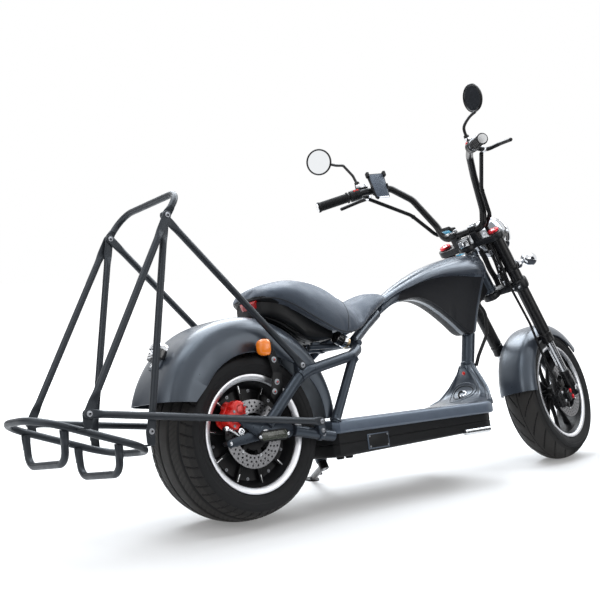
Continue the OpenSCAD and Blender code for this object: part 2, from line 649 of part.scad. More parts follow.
module fork_sliders() color(silver) on_fork() both() translate([fork_offset, fork_half, lug_top])
  cylinder(r = slider_r, h = slider_top - lug_top);
module fork_lowers() color(matte_black) on_fork() both() difference() {
  translate([fork_offset, fork_half, -24]) cylinder(r = slider_r + 4, h = lug_top + 24);
  translate([fork_offset, fork_half, 0]) around_y() cylinder(r = front_axle_r, h = 100, center = true);
}
module front_axle() color(silver) front_hub() around_y()
  cylinder(r = front_axle_r - 0.05, h = 2 * (fork_half + slider_r + 8), center = true);

front_fender_from = 13;
front_fender_span = 135;
module front_fender() color(charcoal) on_fork() translate([fork_offset, 0, 0]) {
  around_y() rotate(front_fender_from) rotate_extrude(angle = front_fender_span)
    fender_section(front_fender_r, front_fender_half, fender_t, front_tyre_r - 31, 45);
  both() translate([0, front_fender_half - 6, front_tyre_r - 17]) rotate([-90, 0, 0])
    cylinder(r = 9, h = fork_half - fork_tube_r - seat_gap - front_fender_half + 6);
}
caliper_back = 104;
caliper_arm = 16;
module front_caliper() color(matte_black) front_hub() difference() {
  union() {
    translate([-caliper_back, -fork_half + 6, -20]) cube([caliper_back - 44, fork_half - 6 - 58, 62]);
    translate([-60, -fork_half - 6, -20]) cube([60 - slider_r - 4 - seat_gap, caliper_arm, 40]);
  }
  translate([0, -front_disc_y, 0]) around_y() cylinder(r = front_disc_r + 6, h = disc_t + 8, center = true);
}

// Handlebar and what is clamped to it
function swapped(p) = [for (i = [len(p) - 1:-1:1]) [p[i].x, -p[i].y, p[i].z, p[i][3]]];
module handlebar() color(matte_black) turned()
  sweep(rounded(concat(swapped(bar_path), bar_path)), bar_r, [0.6, 0, 1]);
bar_len = norm(bar_end - bar_inner);
module along_bar(t) along(bar_inner + bar_dir * t, bar_dir) children();
module grips() color(rubber_black) turned() both() along_bar(bar_len - grip_len + 4) difference() {
  cylinder(r = grip_r, h = grip_len);
  translate([0, 0, -1]) cylinder(r = bar_r + seat_gap, h = grip_len - 3 + seat_gap);
}
control_start = 8;
control_len = 40;
lever_pivot = [918, 246, 1054];
mirror_foot = [850, 233, 1092];
module bar_controls() color(matte_black) turned() both() difference() {
  union() {
    along_bar(control_start) cylinder(r = 21, h = control_len);
    rod(bar_inner + bar_dir * 22, lever_pivot, 9);
    rod(bar_inner + bar_dir * 16, mirror_foot, 8);
  }
  along_bar(control_start - 30) cylinder(r = bar_r + seat_gap, h = control_len + 60);
}
lever_path = [concat(lever_pivot + [1.2, 0, 0], [0]), [946, 249, 1053, 14], [938, 300, 1042, 40],
  [900, 358, 1022, 0]];
module brake_levers() color(matte_black) turned() both() sweep(rounded(lever_path), 6, [0, 0, 1], 8);

mirror_face = [[-0.93, -0.30, -0.20], [-0.90, 0.42, -0.12]];
mirror_t = 12;
// Mirror stems: two bends, then the side of the mirror they come from
stem_rows = [
  [[845, 240, 1124], [836, 266, 1172], [12, -45, -25]],
  [[838, -238, 1122], [848, -258, 1150], [0, 16, -45]]
];
function rim_point(i, out) = let (n = unit(mirror_face[i]), v = stem_rows[i][2])
  mirror_at[i] + (mirror_r + out) * unit(v - (v * n) * n);
function stem_path(i) = [[mirror_foot.x, (i == 0 ? 1 : -1) * mirror_foot.y, mirror_foot.z + 2.5, 0],
  concat(stem_rows[i][0], [20]), concat(stem_rows[i][1], [12]), concat(rim_point(i, 18), [10]),
  concat(rim_point(i, 0.4), [0])];
module mirrors() color(matte_black) turned() for (i = [0, 1]) {
  sweep(rounded(stem_path(i), 3), 5, [1, 0.3, 0], 8);
  along(mirror_at[i], mirror_face[i]) cylinder(r = mirror_r, h = mirror_t, center = true);
}

phone_at = [915, 196.7, 1061.7];
phone_turn = 149.3;
phone_tilt = 15;
module phone_holder() color(matte_black) turned() translate(phone_at) rotate([0, 0, phone_turn])
  rotate([phone_tilt, 0, 0]) {
  translate([-38, 17, -40]) cube([76, 16, 100]);
  difference() {
    translate([-16, -17, -17]) cube([32, 34, 34]);
    rotate([0, 87.5, 0]) cylinder(r = bar_r + 1.5, h = 100, center = true);
  }
}

lamp_at = [1270, 0, 845];
lamp_mid = to_head(lamp_at + [bar_shift, 0, 0]);
lamp_stay = [fork_offset + 23.5, 612];
module headlamp() color(silver) {
  turned() translate(lamp_at) rotate([0, 90, 0]) rotate_extrude()
    polygon([[0, -62], [30, -58], [56, -42], [72, -20], [lamp_r, 0],
      [lamp_r, 40], [lamp_r - 8, 46], [0, 52]]);
  on_fork() both() side_plate(lamp_r + seat_gap, 4) strap(lamp_stay, [lamp_mid.x + 6, lamp_mid.z - 3], 10);
}

signal_at = [1277, 140, 721];
signal_mid = to_head(signal_at + [bar_shift, 0, 0]);
signal_root = [fork_offset, fork_half, 520];
signal_dir = unit(signal_mid - signal_root);
module front_signals() color(silver) {
  turned() both() translate(signal_at) rotate([0, 90, 0]) rotate_extrude()
    polygon([[0, -38], [10, -35], [19, -24], [24, -6], [24, 20], [19, 27], [0, 30]]);
  on_fork() both() rod(signal_root + signal_dir * (fork_tube_r + 1.2), signal_mid, 6);
}

module instruments() color(matte_black) on_fork() translate([-14, 0, high_yoke_s + yoke_t])
  cylinder(r = 26, h = 26);

hose_r = 4.5;
sleeve_path = [[915, 239, 1042, 0], [1030, 150, 961, 80], [1111, 117, 884, 40], [1144.7, 74, 857.2, 12],
  [1157.1, 74, 834.9, 0]];
hose_y = 86;
hose_path = [[1127.5, -hose_y + 6, 788.5, 0], [1175, -hose_y, 691, 90], [1200, -hose_y, 622, 60],
  [1280, -hose_y, 492, 80], [1316, -hose_y, 388, 80], [1352, -hose_y, 310, 60], [1385, -hose_y, 250.6, 0]];
module control_cables() color(rubber_black) turned() {
  both() sweep(rounded(sleeve_path), 7, [0, 0, 1], 8);
  sweep(rounded(hose_path), hose_r, [0, 1, 0], 8);
}

head_tube();
backbone();
down_tube();
frame_loops();
seat_tubes();
lower_stays();
axle_plates();
rear_axle();
seat_pad();
seat_pan();
tail_lamp();
seat_arms();
seat_shocks();
footboard();
nose_cover();
battery_box();
side_rails();
rear_fender();
fender_brackets();
rear_signals();
plate_lamp();
rear_caliper();
side_reflectors();
rack_ring();
rack_loops();
rack_ears();
rack_top_bar();
rack_rear_legs();
rack_front_legs();
rack_upper_struts();
rack_lower_struts();
rack_clamps();
harness();
stand_bracket();
rear_tyre();
rear_wheel_hub();
rear_disc();
yokes();
fork_tubes();
fork_sliders();
fork_lowers();
front_axle();
front_fender();
front_caliper();
handlebar();
grips();
bar_controls();
brake_levers();
mirrors();
phone_holder();
headlamp();
front_signals();
instruments();
control_cables();
front_tyre();
front_wheel_rim();
front_disc();
side_stand();
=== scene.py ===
import json
import math
import bpy
import bmesh
from mathutils import Matrix, Vector


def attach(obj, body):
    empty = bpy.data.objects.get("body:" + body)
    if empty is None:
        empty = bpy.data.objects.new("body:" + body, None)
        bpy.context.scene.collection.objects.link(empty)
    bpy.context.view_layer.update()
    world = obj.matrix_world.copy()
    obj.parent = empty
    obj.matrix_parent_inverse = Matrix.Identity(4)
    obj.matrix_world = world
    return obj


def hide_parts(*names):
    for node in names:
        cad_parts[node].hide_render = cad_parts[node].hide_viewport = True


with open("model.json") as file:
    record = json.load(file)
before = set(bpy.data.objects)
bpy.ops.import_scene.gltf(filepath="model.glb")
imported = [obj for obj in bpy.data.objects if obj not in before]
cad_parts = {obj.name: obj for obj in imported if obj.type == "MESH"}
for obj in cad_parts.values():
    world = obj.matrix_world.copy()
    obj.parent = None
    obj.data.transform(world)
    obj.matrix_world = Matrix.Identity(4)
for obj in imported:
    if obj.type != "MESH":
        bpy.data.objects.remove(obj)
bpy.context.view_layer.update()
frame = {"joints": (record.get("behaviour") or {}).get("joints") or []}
scene = bpy.context.scene
scene.view_settings.view_transform = "Standard"

# every piece is drawn in millimetres ahead, left and up of the rear wheel's ground point
stance = {"rake": 29.0, "rearAxleZ": 238.5, "frontAxle": (1460.0, 0.0, 243.0), "forkOffset": 40.0}
joints = {j["name"]: j for j in frame["joints"]}


def axisOf(name):
    return Vector(joints[name]["axis"]).normalized()


def at(x, y, z):
    return Matrix.Translation((x, y, z))


def turn(axis, degrees):
    return Matrix.Rotation(math.radians(degrees), 4, axis)


sideAxis, steerAxis = axisOf("rear_wheel_spin"), axisOf("steering")
aheadAxis = sideAxis.cross(steerAxis)
rake = math.radians(stance["rake"])
bikeX = aheadAxis * math.cos(rake) - steerAxis * math.sin(rake)
bikeZ = aheadAxis * math.sin(rake) + steerAxis * math.cos(rake)
rearPoint = Vector(joints["rear_wheel_spin"]["pos_m"]) - bikeZ * stance["rearAxleZ"] * 0.001
mm = Matrix.Scale(0.001, 4)
bike = at(*rearPoint) @ Matrix((bikeX, sideAxis, bikeZ)).transposed().to_4x4() @ mm
headOrigin = (stance["frontAxle"][0] - stance["forkOffset"] * math.cos(rake), 0.0,
              stance["frontAxle"][2] - stance["forkOffset"] * math.sin(rake))
barTurn = math.degrees(sideAxis.angle(axisOf("front_wheel_spin")))
headTubePlace = bike @ at(*headOrigin) @ turn("Y", -stance["rake"])   # stays with the frame
head = headTubePlace @ turn("Z", barTurn)   # turns with the bars
fork = head @ turn("Y", stance["rake"]) @ at(-headOrigin[0], 0, -headOrigin[2])
rearHub = bike @ at(0, 0, stance["rearAxleZ"])
frontHub = head @ at(stance["forkOffset"], 0, 0)
toBike = bike.inverted()
axleZ = stance["rearAxleZ"]

# camera from the photograph's vanishing lines
shot = {"place": (-2.2198, -2.4760, 0.7283), "yaw": 50.107, "pitch": -1.858, "lens": 61.12, "lift": -0.0071}
camData = bpy.data.cameras.new("camera")
camData.lens, camData.sensor_width, camData.shift_y = shot["lens"], 36.0, shot["lift"]
camData.clip_end = 60
camera = bpy.data.objects.new("camera", camData)
camera.location = shot["place"]
camera.rotation_euler = (math.radians(90 + shot["pitch"]), 0, math.radians(shot["yaw"] - 90))
scene.collection.objects.link(camera)
scene.camera = camera


# shapes are (points, faces) pairs
def merge(*shapes):
    points, faces = [], []
    for p, f in shapes:
        base = len(points)
        points += [Vector(v) for v in p]
        faces += [tuple(i + base for i in face) for face in f]
    return points, faces


def placed(shape, matrix):
    return [matrix @ Vector(p) for p in shape[0]], shape[1]


def mirrored(shape):
    return [Vector((p[0], -p[1], p[2])) for p in shape[0]], [tuple(reversed(f)) for f in shape[1]]


def both(shape):
    return merge(shape, mirrored(shape))


def loft(rings, closed=False, capped=True):
    n, m = len(rings[0]), len(rings)
    points = [Vector(p) for r in rings for p in r]
    faces = []
    for i in range(m if closed else m - 1):
        a, b = i * n, ((i + 1) % m) * n
        faces += [(a + k, a + (k + 1) % n, b + (k + 1) % n, b + k) for k in range(n)]
    if capped and not closed:
        faces += [tuple(range(n - 1, -1, -1)), tuple(range((m - 1) * n, m * n))]
    return points, faces


def spline(rows, steps):
    out = []
    for i in range(len(rows) - 1):
        a, b, c, d = rows[max(i - 1, 0)], rows[i], rows[i + 1], rows[min(i + 2, len(rows) - 1)]
        for k in range(steps):
            t = k / steps
            out.append([q + 0.5 * t * (r - p + t * (2 * p - 5 * q + 4 * r - s + t * (3 * (q - r) + s - p)))
                        for p, q, r, s in zip(a, b, c, d)])
    return out + [list(rows[-1])]


def rounded(path, steps=8):
    pts = [Vector(p[:3]) for p in path]
    out = [pts[0]]
    for i in range(1, len(pts) - 1):
        r = path[i][3] if len(path[i]) > 3 else 0
        if not r:
            out.append(pts[i])
            continue
        u, v = (pts[i] - pts[i - 1]).normalized(), (pts[i + 1] - pts[i]).normalized()
        t = u.angle(v)
        if t < 0.01:
            out.append(pts[i])
            continue
        start = pts[i] - u * r * math.tan(t / 2)
        middle = pts[i] + (v - u).normalized() * r / math.cos(t / 2)
        out += [middle + (start - middle) * math.cos(t * k / steps) + u * r * math.sin(t * k / steps)
                for k in range(steps + 1)]
    return out + [pts[-1]]


def pathFrames(points, closed=False):
    n = len(points)
    side, out = None, []
    for i in range(n):
        a, b = (points[i - 1], points[(i + 1) % n]) if closed else (points[max(i - 1, 0)],
            points[min(i + 1, n - 1)])
        along = (b - a).normalized()
        if side is None:
            side = along.orthogonal().normalized()
        side = (side - along * side.dot(along)).normalized()
        out.append((along, side, along.cross(side)))
    return out


def angles(count):
    return [math.tau * k / count for k in range(count)]


def circle(centre, a, b, radius, sides):
    return [centre + a * radius * math.cos(t) + b * radius * math.sin(t) for t in angles(sides)]


# a sine or cosine pushed out towards a square corner
def bulged(value, power):
    return math.copysign(abs(value) ** power, value)


def tube(points, radius, sides=20, nose=0.0, closed=False):
    points = [Vector(p[:3]) for p in points]
    frames = pathFrames(points, closed)
    radii = radius if isinstance(radius, (list, tuple)) else [radius] * len(points)
    rings = [circle(p, f[1], f[2], r, sides) for p, f, r in zip(points, frames, radii)]
    if nose and not closed:
        first, last = frames[0], frames[-1]
        rings.insert(0, circle(points[0] - first[0] * nose * 0.7, first[1], first[2], radii[0] - nose, sides))
        rings.append(circle(points[-1] + last[0] * nose * 0.7, last[1], last[2], radii[-1] - nose, sides))
    return loft(rings, closed)


def rod(a, b, radius, sides=24, nose=1.5):
    a, b = Vector(a), Vector(b)
    d = (b - a).normalized() * min(nose, (b - a).length * 0.3)
    return tube([a + d * 0.7, a + d, b - d, b - d * 0.7], radius, sides, nose)


# a turned shape about y: the profile is (radius, along) pairs, closed on itself when loop is set
def turned(profile, segments=96, loop=False, start=0.0, sweep=360.0):
    whole = sweep >= 360
    count = segments if whole else segments + 1
    rings = []
    for i in range(count):
        a = math.radians(start + sweep * i / segments)
        rings.append([Vector((r * math.cos(a), y, r * math.sin(a))) for r, y in profile])
    n, faces = len(profile), []
    for i in range(count if whole else count - 1):
        p, q = i * n, ((i + 1) % count) * n
        faces += [(p + k, p + (k + 1) % n, q + (k + 1) % n, q + k) for k in range(n if loop else n - 1)]
    points = [v for r in rings for v in r]
    if loop and not whole:
        faces += [tuple(range(n)), tuple(range((count - 1) * n, count * n))[::-1]]
    return points, faces


def lathe(origin, direction, profile, segments=48):
    d = Vector(direction).normalized()
    spin = Vector((0, 1, 0)).rotation_difference(d).to_matrix().to_4x4()
    return placed(turned(profile, segments), at(*origin) @ spin)


def roundBox(low, high, radius=2.0, matrix=None):
    bm = bmesh.new()
    size = [h - l for l, h in zip(low, high)]
    mid = [(h + l) / 2 for l, h in zip(low, high)]
    bmesh.ops.create_cube(bm, size=1, matrix=at(*mid) @ Matrix.Diagonal((*size, 1)))
    bmesh.ops.bevel(bm, geom=bm.edges[:], offset=min(radius, min(size) * 0.48), segments=3, profile=0.6,
        affect="EDGES")
    shape = [v.co.copy() for v in bm.verts], [tuple(v.index for v in f.verts) for f in bm.faces]
    bm.free()
    return placed(shape, matrix) if matrix else shape


def inset(outline, amount):
    n, out = len(outline), []
    area = sum(outline[i][0] * outline[(i + 1) % n][1] - outline[(i + 1) % n][0] * outline[i][1]
        for i in range(n))
    hand = 1 if area > 0 else -1
    for i in range(n):
        p, a, b = Vector(outline[i]), Vector(outline[i - 1]), Vector(outline[(i + 1) % n])
        u, v = (p - a).normalized(), (b - p).normalized()
        norm = Vector((-u.y - v.y, u.x + v.x)) * hand
        norm = norm.normalized() / max(0.5, math.sqrt(max(0.02, (1 + u.dot(v)) / 2)))
        out.append(p + norm * amount)
    return out


# a plate: an outline in x and z with its edges eased, from y low to y high
def plate(outline, low, high, edge=1.0):
    steps = [(low, edge), (low + edge * 0.35, edge * 0.3), (low + edge, 0), (high - edge, 0),
             (high - edge * 0.35, edge * 0.3), (high, edge)]
    rings = [[Vector((p[0], y, p[1])) for p in (inset(outline, e) if e else outline)] for y, e in steps]
    return loft(rings)


def strap(a, b, ra, rb=None, steps=10):
    rb = ra if rb is None else rb
    t = math.atan2(b[1] - a[1], b[0] - a[0])
    out = []
    for c, r, start in ((a, ra, t + math.pi / 2), (b, rb, t - math.pi / 2)):
        out += [(c[0] + r * math.cos(start + math.pi * k / steps),
            c[1] + r * math.sin(start + math.pi * k / steps)) for k in range(steps + 1)]
    return out


# a cover over stations: each is a ring of (x, y, z) for the left half, bottom middle to top middle
def whole(half):
    return list(half) + [(p[0], -p[1], p[2]) for p in half[-2:0:-1]]


def meshOf(name, parts, place, sharp):
    bm = bmesh.new()
    for i, (shape, _) in enumerate(parts):
        part = bmesh.new()
        verts = [part.verts.new(place @ Vector(p)) for p in shape[0]]
        for f in shape[1]:
            if len(set(f)) > 2:
                try:
                    part.faces.new([verts[k] for k in f])
                except ValueError:
                    pass
        bmesh.ops.remove_doubles(part, verts=part.verts[:], dist=2e-6)
        bmesh.ops.dissolve_degenerate(part, dist=1e-7, edges=part.edges[:])
        bmesh.ops.recalc_face_normals(part, faces=part.faces[:])
        for f in part.faces:
            f.material_index, f.smooth = i, True
        scrap = bpy.data.meshes.new("scrap")
        part.to_mesh(scrap)
        part.free()
        bm.from_mesh(scrap)
        bpy.data.meshes.remove(scrap)
    mesh = bpy.data.meshes.new(name)
    bm.to_mesh(mesh)
    bm.free()
    for _, finish in parts:
        mesh.materials.append(finish)
    mesh.set_sharp_from_angle(angle=math.radians(sharp))
    return mesh


def settle(obj):
    got = obj.evaluated_get(bpy.context.evaluated_depsgraph_get())
    mesh = bpy.data.meshes.new_from_object(got)
    obj.modifiers.clear()
    old, obj.data = obj.data, mesh
    bpy.data.meshes.remove(old)


def addPiece(name, body, place, parts, nodes=(), sharp=35):
    obj = bpy.data.objects.new(name, meshOf(name, parts, place, sharp))
    scene.collection.objects.link(obj)
    ridePiece(obj, body, nodes)
    return obj


def framePiece(name, parts, nodes=(), sharp=35):
    return addPiece(name, "frame", bike, parts, nodes, sharp)


def ridePiece(obj, body, nodes=()):
    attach(obj, body)
    if nodes:
        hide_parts(*nodes)


# geometry node trees: screws, drilled discs and what goes round a hub
def newTree(name, inputs):
    tree = bpy.data.node_groups.new(name, "GeometryNodeTree")
    tree.interface.new_socket("Geometry", in_out="INPUT", socket_type="NodeSocketGeometry")
    for label, kind, value in inputs:
        socket = tree.interface.new_socket(label, in_out="INPUT", socket_type="NodeSocket" + kind)
        if value is not None:
            socket.default_value = value
    tree.interface.new_socket("Geometry", in_out="OUTPUT", socket_type="NodeSocketGeometry")
    return tree, tree.nodes.new("NodeGroupInput"), tree.nodes.new("NodeGroupOutput")


def addNode(tree, kind, links=None, **values):
    node = tree.nodes.new(kind)
    for k, v in values.items():
        setattr(node, k, v)
    for socket, source in (links or {}).items():
        if isinstance(source, bpy.types.NodeSocket):
            tree.links.new(source, node.inputs[socket])
        else:
            node.inputs[socket].default_value = source
    return node


def endTree(tree, outNode, geometry, finish):
    real = addNode(tree, "GeometryNodeRealizeInstances", {"Geometry": geometry})
    dress = addNode(tree, "GeometryNodeSetMaterial", {"Geometry": real.outputs[0], "Material": finish})
    tree.links.new(dress.outputs[0], outNode.inputs[0])


def runTree(name, tree, mesh, values):
    obj = bpy.data.objects.new(name, mesh)
    scene.collection.objects.link(obj)
    mod = obj.modifiers.new("nodes", "NODES")
    mod.node_group = tree
    keys = {i.name: i.identifier for i in tree.interface.items_tree if i.in_out == "INPUT"}
    for label, value in values.items():
        mod[keys[label]] = value
    settle(obj)
    return obj


def calc(tree, operation, *values):
    return addNode(tree, "ShaderNodeMath", dict(enumerate(values)), operation=operation).outputs[0]


def vector(tree, **axes):
    return addNode(tree, "ShaderNodeCombineXYZ", axes).outputs[0]


def joined(tree, *pieces):
    node = addNode(tree, "GeometryNodeJoinGeometry")
    for piece in pieces:
        tree.links.new(piece, node.inputs[0])
    return node.outputs[0]


def hubTree():
    tree, source, out = newTree("roundTheHub", [("Count", "Int", 8), ("Phase", "Float", 0.0),
        ("Finish", "Material", None)])
    given = source.outputs
    points = addNode(tree, "GeometryNodePoints", {"Count": given["Count"]})
    share = calc(tree, "DIVIDE", addNode(tree, "GeometryNodeInputIndex").outputs[0], given["Count"])
    angle = calc(tree, "MULTIPLY_ADD", share, math.tau, given["Phase"])
    spin = addNode(tree, "FunctionNodeEulerToRotation", {0: vector(tree, Y=angle)})
    many = addNode(tree, "GeometryNodeInstanceOnPoints", {"Points": points.outputs[0],
                   "Instance": given["Geometry"], "Rotation": spin.outputs[0]})
    endTree(tree, out, many.outputs[0], given["Finish"])
    return tree


def screwTree():
    tree, source, out = newTree("screwHeads", [("Radius", "Float", 0.006), ("Height", "Float", 0.004),
        ("Sides", "Int", 16), ("Washer", "Float", 1.35), ("Finish", "Material", None)])
    given = source.outputs
    dome = addNode(tree, "GeometryNodeMeshUVSphere", {"Segments": given["Sides"], "Rings": 8, "Radius": 1.0})
    size = vector(tree, X=given["Radius"], Y=given["Radius"], Z=given["Height"])
    cap = addNode(tree, "GeometryNodeTransform", {"Geometry": dome.outputs[0], "Scale": size})
    washer = addNode(tree, "GeometryNodeMeshCylinder", {"Vertices": given["Sides"],
                     "Radius": calc(tree, "MULTIPLY", given["Radius"], given["Washer"]),
                     "Depth": calc(tree, "MULTIPLY", given["Height"], 0.5)})
    facing = addNode(tree, "GeometryNodeInputNamedAttribute", {"Name": "facing"}, data_type="FLOAT_VECTOR")
    aim = addNode(tree, "FunctionNodeAlignRotationToVector", {"Vector": facing.outputs[0]}, axis="Z")
    many = addNode(tree, "GeometryNodeInstanceOnPoints", {"Points": given["Geometry"],
                   "Instance": joined(tree, cap.outputs[0], washer.outputs[0]), "Rotation": aim.outputs[0]})
    endTree(tree, out, many.outputs[0], given["Finish"])
    return tree


def discTree():
    tree, source, out = newTree("drilledDisc", [("Outer", "Float", 95.0), ("Inner", "Float", 60.0),
        ("Hole", "Float", 3.0), ("Rows", "Int", 3), ("Per row", "Int", 28), ("Thick", "Float", 4.0),
        ("Finish", "Material", None)])
    given = source.outputs

    def ring(radius, resolution):
        return addNode(tree, "GeometryNodeCurvePrimitiveCircle",
            {"Resolution": resolution, "Radius": radius}).outputs[0]
    total = calc(tree, "MULTIPLY", given["Rows"], given["Per row"])
    points = addNode(tree, "GeometryNodePoints", {"Count": total})
    index = addNode(tree, "GeometryNodeInputIndex").outputs[0]
    row = calc(tree, "MODULO", index, given["Rows"])
    angle = calc(tree, "MULTIPLY", calc(tree, "DIVIDE", index, total), math.tau)
    band = calc(tree, "SUBTRACT", given["Outer"], given["Inner"])
    ratio = calc(tree, "DIVIDE", calc(tree, "ADD", row, 0.75), calc(tree, "ADD", given["Rows"], 0.5))
    radius = calc(tree, "MULTIPLY_ADD", ratio, band, given["Inner"])
    x, y = [calc(tree, "MULTIPLY", calc(tree, wave, angle), radius) for wave in ("COSINE", "SINE")]
    spread = addNode(tree, "GeometryNodeSetPosition",
        {"Geometry": points.outputs[0], "Position": vector(tree, X=x, Y=y)})
    holes = addNode(tree, "GeometryNodeInstanceOnPoints",
        {"Points": spread.outputs[0], "Instance": ring(given["Hole"], 10)})
    real = addNode(tree, "GeometryNodeRealizeInstances", {"Geometry": holes.outputs[0]})
    lines = joined(tree, ring(given["Outer"], 128), ring(given["Inner"], 128), real.outputs[0])
    sheet = addNode(tree, "GeometryNodeFillCurve", {"Curve": lines})
    wall = addNode(tree, "GeometryNodeExtrudeMesh", {"Mesh": sheet.outputs[0],
        "Offset": vector(tree, Z=given["Thick"]), "Individual": False})
    under = addNode(tree, "GeometryNodeFlipFaces", {"Mesh": sheet.outputs[0]})
    endTree(tree, out, joined(tree, wall.outputs[0], under.outputs[0]), given["Finish"])
    return tree


hubNodes, screwNodes, discNodes = hubTree(), screwTree(), discTree()


def closeMesh(mesh, sharp=35):
    bm = bmesh.new()
    bm.from_mesh(mesh)
    bmesh.ops.remove_doubles(bm, verts=bm.verts[:], dist=2e-6)
    bmesh.ops.recalc_face_normals(bm, faces=bm.faces[:])
    for f in bm.faces:
        f.smooth = True
    bm.to_mesh(mesh)
    bm.free()
    mesh.set_sharp_from_angle(angle=math.radians(sharp))


# screws: each is ((x, y, z), (facing)) in the place's own millimetres
def addScrews(name, body, place, spots, finish, radius=6.0, height=4.0, sides=16, washer=1.35):
    mesh = bpy.data.meshes.new(name)
    mesh.from_pydata([place @ Vector(p) for p, _ in spots], [], [])
    facing = mesh.attributes.new("facing", "FLOAT_VECTOR", "POINT")
    rotation = place.to_3x3()
    for i, (_, d) in enumerate(spots):
        facing.data[i].vector = (rotation @ Vector(d)).normalized()
    obj = runTree(name, screwNodes, mesh, {"Radius": radius * 0.001, "Height": height * 0.001, "Sides": sides,
                  "Washer": washer, "Finish": finish})
    closeMesh(obj.data)
    ridePiece(obj, body, ())


# screw spots in a ring round a hub, facing out on the side that y gives
def ringSpots(radius, y, count, phase=0.0):
    return [((radius * math.cos(a), y, radius * math.sin(a)), (0, math.copysign(1, y), 0))
            for a in (t + math.radians(phase) for t in angles(count))]


def aroundHub(name, body, place, shape, count, finish, phase=0.0):
    mesh = meshOf(name, [(shape, finish)], Matrix.Identity(4), 35)
    obj = runTree(name, hubNodes, mesh, {"Count": count, "Phase": math.radians(phase), "Finish": finish})
    obj.data.transform(place)
    closeMesh(obj.data)
    ridePiece(obj, body, ())


def addDisc(name, body, place, finish, nodes=(), slot=None, **sizes):
    values = {"Outer": sizes["outer"], "Inner": sizes["inner"], "Hole": sizes["hole"], "Rows": sizes["rows"],
              "Per row": sizes["perRow"], "Thick": sizes["thick"], "Finish": finish}
    obj = runTree(name, discNodes, bpy.data.meshes.new(name), values)
    obj.data.transform(place @ turn("X", 90) @ at(0, 0, -sizes["thick"] / 2))
    closeMesh(obj.data, 30)
    ridePiece(obj, body, nodes)


# finishes: colours are linear, grain is (scale per metre, bump height in metres)
# and shift is how far the colour strays
def finish(name, colour, rough=0.5, metal=0.0, shift=0.15, scale=60.0, grain=None, cells=False, spread=0.08,
    coat=0.0, coatRough=0.03, clear=0.0, glow=0.0, sheen=0.0, specular=0.5, shine=(1, 1, 1), stain=None,
    stretch=(1, 1, 1)):
    mat = bpy.data.materials.new(name)
    mat.use_nodes = True
    tree = mat.node_tree
    shader = tree.nodes["Principled BSDF"]
    coords = tree.nodes.new("ShaderNodeTexCoord")
    mapping = addNode(tree, "ShaderNodeMapping", {"Vector": coords.outputs["Object"], "Scale": stretch})
    cloud = addNode(tree, "ShaderNodeTexNoise", {"Vector": mapping.outputs[0], "Scale": scale, "Detail": 4.0,
        "Roughness": 0.6})
    dark, light = [c * (1 - shift) for c in colour], [min(1.0, c * (1 + shift)) for c in colour]
    mix = addNode(tree, "ShaderNodeMix", {0: cloud.outputs["Fac"]}, data_type="RGBA")
    mix.inputs["A"].default_value, mix.inputs["B"].default_value = (*dark, 1), (*light, 1)
    tint = mix.outputs["Result"]
    if stain:
        label, other, most = stain
        mark = addNode(tree, "ShaderNodeAttribute", attribute_name=label)
        amount = addNode(tree, "ShaderNodeMath", {0: mark.outputs["Fac"], 1: most}, operation="MULTIPLY")
        over = addNode(tree, "ShaderNodeMix", {0: amount.outputs[0]}, data_type="RGBA")
        tree.links.new(tint, over.inputs["A"])
        over.inputs["B"].default_value = (*other, 1)
        tint = over.outputs["Result"]
    tree.links.new(tint, shader.inputs["Base Color"])
    worn = addNode(tree, "ShaderNodeMapRange", {"Value": cloud.outputs["Fac"], "From Min": 0.3,
        "From Max": 0.7, "To Min": max(0.02, rough - spread), "To Max": min(1.0, rough + spread)})
    tree.links.new(worn.outputs[0], shader.inputs["Roughness"])
    if grain:
        kind = "ShaderNodeTexVoronoi" if cells else "ShaderNodeTexNoise"
        fine = addNode(tree, kind, {"Vector": mapping.outputs[0], "Scale": grain[0]})
        bump = addNode(tree, "ShaderNodeBump", {"Height": fine.outputs[0], "Distance": grain[1],
            "Strength": 1.0})
        tree.links.new(bump.outputs[0], shader.inputs["Normal"])
    values = {"Metallic": metal, "IOR": 1.5, "Specular IOR Level": specular, "Specular Tint": (*shine, 1),
        "Coat Weight": coat, "Coat Roughness": coatRough, "Transmission Weight": clear, "Sheen Weight": sheen,
        "Sheen Roughness": 0.35, "Sheen Tint": (0.80, 0.88, 1.0, 1)}
    for socket, value in values.items():
        shader.inputs[socket].default_value = value
    if glow:
        shader.inputs["Emission Color"].default_value = (*colour, 1)
        shader.inputs["Emission Strength"].default_value = glow
    return mat


coolShine = (0.70, 0.84, 1.0)   # tint of the satin paints' highlights
framePaint = finish("framePaint", (0.019, 0.023, 0.031), 0.34, grain=(900, 0.0001), specular=0.6, sheen=0.08,
    shine=coolShine)
rackPaint = finish("rackPaint", (0.014, 0.016, 0.020), 0.42, grain=(1400, 0.00015), specular=0.5, sheen=0.05,
    shine=(0.84, 0.92, 1.0))
bodyShell = finish("bodyShell", (0.026, 0.032, 0.044), 0.32, grain=(1200, 0.00004), scale=12, shift=0.06,
    specular=0.9, coat=0.5, coatRough=0.28, sheen=0.16, shine=coolShine)
# dark shell: the backbone side panel's own darker tone, with painted shade on its underside and lower rim and
# in the nose's oval recess
panelToneAndShade = finish("panelToneAndShade", (0.011, 0.012, 0.015), 0.5, grain=(1500, 0.0001), specular=0.25)
fenderPaint = finish("fenderPaint", (0.021, 0.026, 0.036), 0.34, grain=(1200, 0.00005), scale=12, shift=0.06,
    specular=0.8, coat=0.4, coatRough=0.3, sheen=0.12, shine=coolShine)
